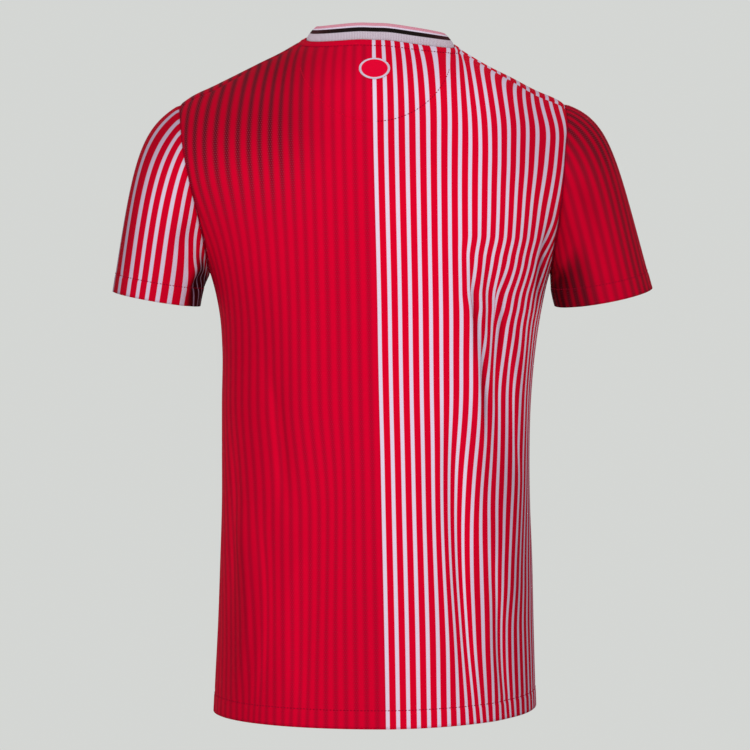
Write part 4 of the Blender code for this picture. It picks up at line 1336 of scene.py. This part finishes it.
def seam_object(name, path, material):
    """The thin round cord that an armhole seam's stitches make, along a closed path."""
    ahead = unit(np.roll(path, -1, axis=0) - np.roll(path, 1, axis=0))
    away = unit(np.cross(ahead, AWAY_FROM_SEAMS))
    other = np.cross(ahead, away)
    angles = 2 * math.pi * np.arange(SEAM_SIDES) / SEAM_SIDES
    rings = path[:, None] + SEAM_RADIUS * (np.cos(angles)[:, None] * away[:, None]
                                           + np.sin(angles)[:, None] * other[:, None])
    index = vertex_grid(rings)
    index = np.concatenate([index, index[:, :1]], axis=1)
    faces = cells(np.concatenate([index, index[:1]])).tolist()
    made = plain_object(name, rings.reshape(-1, 3), faces, material)
    return made


def patch_object(points, material):
    """The oval patch at the nape: a low embroidered cushion that follows the back."""
    tree = BVHTree.FromPolygons(points.reshape(-1, 3).tolist(), cells(vertex_grid(points)).tolist())
    vertices, radial, turns = [], [], []
    for share, height in PATCH_RINGS:
        for k in range(PATCH_SPOKES if share else 1):
            angle = 2 * math.pi * k / PATCH_SPOKES
            spot = (PATCH_X + PATCH_HALF_WIDTH * share * math.cos(angle), -1.0,
                    PATCH_Z + PATCH_HALF_HEIGHT * share * math.sin(angle))
            hit, normal, _, _ = tree.ray_cast(spot, (0, 1, 0))
            normal = normal if normal.y < 0 else -normal
            vertices.append(hit + normal * (CLOTH / 2 + PATCH_CLEAR + PATCH_THICK * height))
            radial.append(share)
            turns.append(angle)
    spokes = 1 + np.arange((len(PATCH_RINGS) - 1) * PATCH_SPOKES).reshape(-1, PATCH_SPOKES)
    index = np.concatenate([spokes, spokes[:, :1]], axis=1)
    faces = [(0, int(here), int(after)) for here, after in zip(index[0], index[0, 1:])]
    a, b, c, d = corners(index)
    faces += np.stack([a, d, c, b], axis=-1).reshape(-1, 4).tolist()
    faces.append(spokes[-1, ::-1].tolist())
    made = plain_object("nape_oval", vertices, faces, material)
    add_attribute(made.data, "radial", np.array(radial))
    add_attribute(made.data, "turn", np.array(turns))
    return made


def panel_threads(name, panel, thread, red_thread):
    """The stitching on a panel: hem, neck strip and, on the back, the half-moon below the nape."""
    columns = range(panel.points.shape[1])
    neck = range(SHOULDER_COLUMNS, SHOULDER_COLUMNS + NECK_COLUMNS + 1)
    paths = {"hem": contour(panel.points[::-1], panel.from_hem[::-1], HEM_DEEP, columns),
             "neck": contour(panel.points, panel.from_neck, NECK_STRIP, neck)}
    if panel.face == BACK:
        x, z = panel.points[..., 0] - MOON_X, panel.points[..., 2] - MOON_Z
        moon = contour(panel.points, np.hypot(x, z), MOON_RADIUS, columns)
        turn = np.degrees(np.arctan2(moon[:, 0] - MOON_X, MOON_Z - moon[:, 2]))
        paths["moon_left"] = moon[(np.abs(turn) < MOON_SPREAD) & (moon[:, 0] < MOON_X)]
        paths["moon_right"] = moon[(np.abs(turn) < MOON_SPREAD) & (moon[:, 0] >= MOON_X)]
    return [stitched(f"{name}_{key}_stitches", path, panel.points, -panel.face,
                     red_thread if key == "moon_left" else thread) for key, path in paths.items()]


def in_place_of(node):
    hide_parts(node)


def build():
    back, front = Panel(BACK), Panel(FRONT)
    ring = neck_ring(back.points, front.points)
    halved, pinstripe = striped("halved_knit", None), striped("pinstripe_knit", 1.0)
    tonal = striped("red_knit", 0.0)
    thread, red_thread = thread_cloth("thread", SHADED_THREAD), thread_cloth("red_thread", HALF_RED)
    sleeves = {name: SleeveCloth(name, back, front) for name in SLEEVES}
    for name, panel in (("back", back), ("front", front)):
        panel.finish(ring)
        piece = cloth_object(name + "_panel", panel.points, panel.cut, halved, flip=panel.face == FRONT,
                             attributes=panel_attributes(panel))
        in_place_of(name)
        threads = panel_threads(name, panel, thread, red_thread)
    for name, sleeve in sleeves.items():
        pin = name == "sleeve_left"
        sleeve.finish()
        piece = cloth_object(name + "_cloth", sleeve.points, sleeve.cut, pinstripe if pin else tonal,
                             closed=True, flip=not pin, attributes=sleeve_attributes(sleeve))
        in_place_of(name)
        path = contour(sleeve.points, sleeve.from_cuff, CUFF_DEEP, range(sleeve.points.shape[1]))
        cuff = stitched(name + "_cuff_stitches", path, sleeve.points, sleeve.side, thread)
        hole = np.roll(armhole_ring(sleeve.side, back.points, front.points), -YOKE_ROWS, axis=0)
        seam = seam_object(name + "_armhole_seam", (hole + sleeve.points[0, :-1]) / 2, thread)
    points, cut, round_neck = collar_points(ring)
    collar = grid_object("collar_band", points, cut, rib_cloth(), closed_across=True, closed_up=True)
    in_place_of("collar")
    patch = patch_object(back.points, patch_cloth())
    in_place_of("nape_patch")


# ---------------------------------------------------------------- stage, light and camera

BACKDROP = (0.660, 0.674, 0.656)
FLOOR_HEIGHT, FLOOR_RADIUS, FLOOR_SIDES = -1.45, 3.5, 96
FLOOR_ROUGHNESS, FLOOR_SPECULAR = 0.9, 0.1
CAMERA_BACK, CAMERA_UP = 2.5, -0.354
LENS_PIXELS, PICTURE_PIXELS, SENSOR_MM = 2336, 750, 36.0
LIT = (0, 0, -0.35)     # where both lamps point
Lamp = namedtuple("Lamp", "name place size power")
LAMPS = table(Lamp, ("key", (0.7, -3.2, 1.6), 2.4, 46.0), ("fill", (-1.2, -3.0, 0.4), 2.4, 24.0))


def placed(name, data):
    made = bpy.data.objects.new(name, data)
    bpy.context.scene.collection.objects.link(made)
    return made


def stage():
    scene = bpy.context.scene
    scene.view_settings.view_transform = "Standard"
    scene.world = bpy.data.worlds.new("studio")
    scene.world.use_nodes = True
    background = scene.world.node_tree.nodes["Background"]
    background.inputs["Color"].default_value = (*BACKDROP, 1.0)
    background.inputs["Strength"].default_value = 1.0
    for lamp in LAMPS:
        data = bpy.data.lights.new(lamp.name, "AREA")
        data.shape, data.size, data.energy = "DISK", lamp.size, lamp.power
        made = placed(lamp.name, data)
        made.location = lamp.place
        made.rotation_euler = (Vector(LIT) - Vector(lamp.place)).to_track_quat("-Z", "Y").to_euler()
    angles = 2 * math.pi * np.arange(FLOOR_SIDES) / FLOOR_SIDES
    rim = [(FLOOR_RADIUS * math.cos(a), FLOOR_RADIUS * math.sin(a), FLOOR_HEIGHT) for a in angles]
    mesh = bpy.data.meshes.new("floor")
    mesh.from_pydata(rim, [], [tuple(range(FLOOR_SIDES))])
    pale = bpy.data.materials.new("floor_pale")
    pale.use_nodes = True
    shader = pale.node_tree.nodes["Principled BSDF"]
    shader.inputs["Base Color"].default_value = (*BACKDROP, 1.0)
    shader.inputs["Roughness"].default_value = FLOOR_ROUGHNESS
    shader.inputs["Specular IOR Level"].default_value = FLOOR_SPECULAR
    mesh.materials.append(pale)
    placed("floor", mesh)
    camera = placed("camera", bpy.data.cameras.new("camera"))
    camera.location = (0.0, -CAMERA_BACK, CAMERA_UP)
    camera.rotation_euler = (math.pi / 2, 0.0, 0.0)
    camera.data.sensor_width = SENSOR_MM
    camera.data.lens = LENS_PIXELS / PICTURE_PIXELS * SENSOR_MM
    scene.camera = camera


build()
stage()
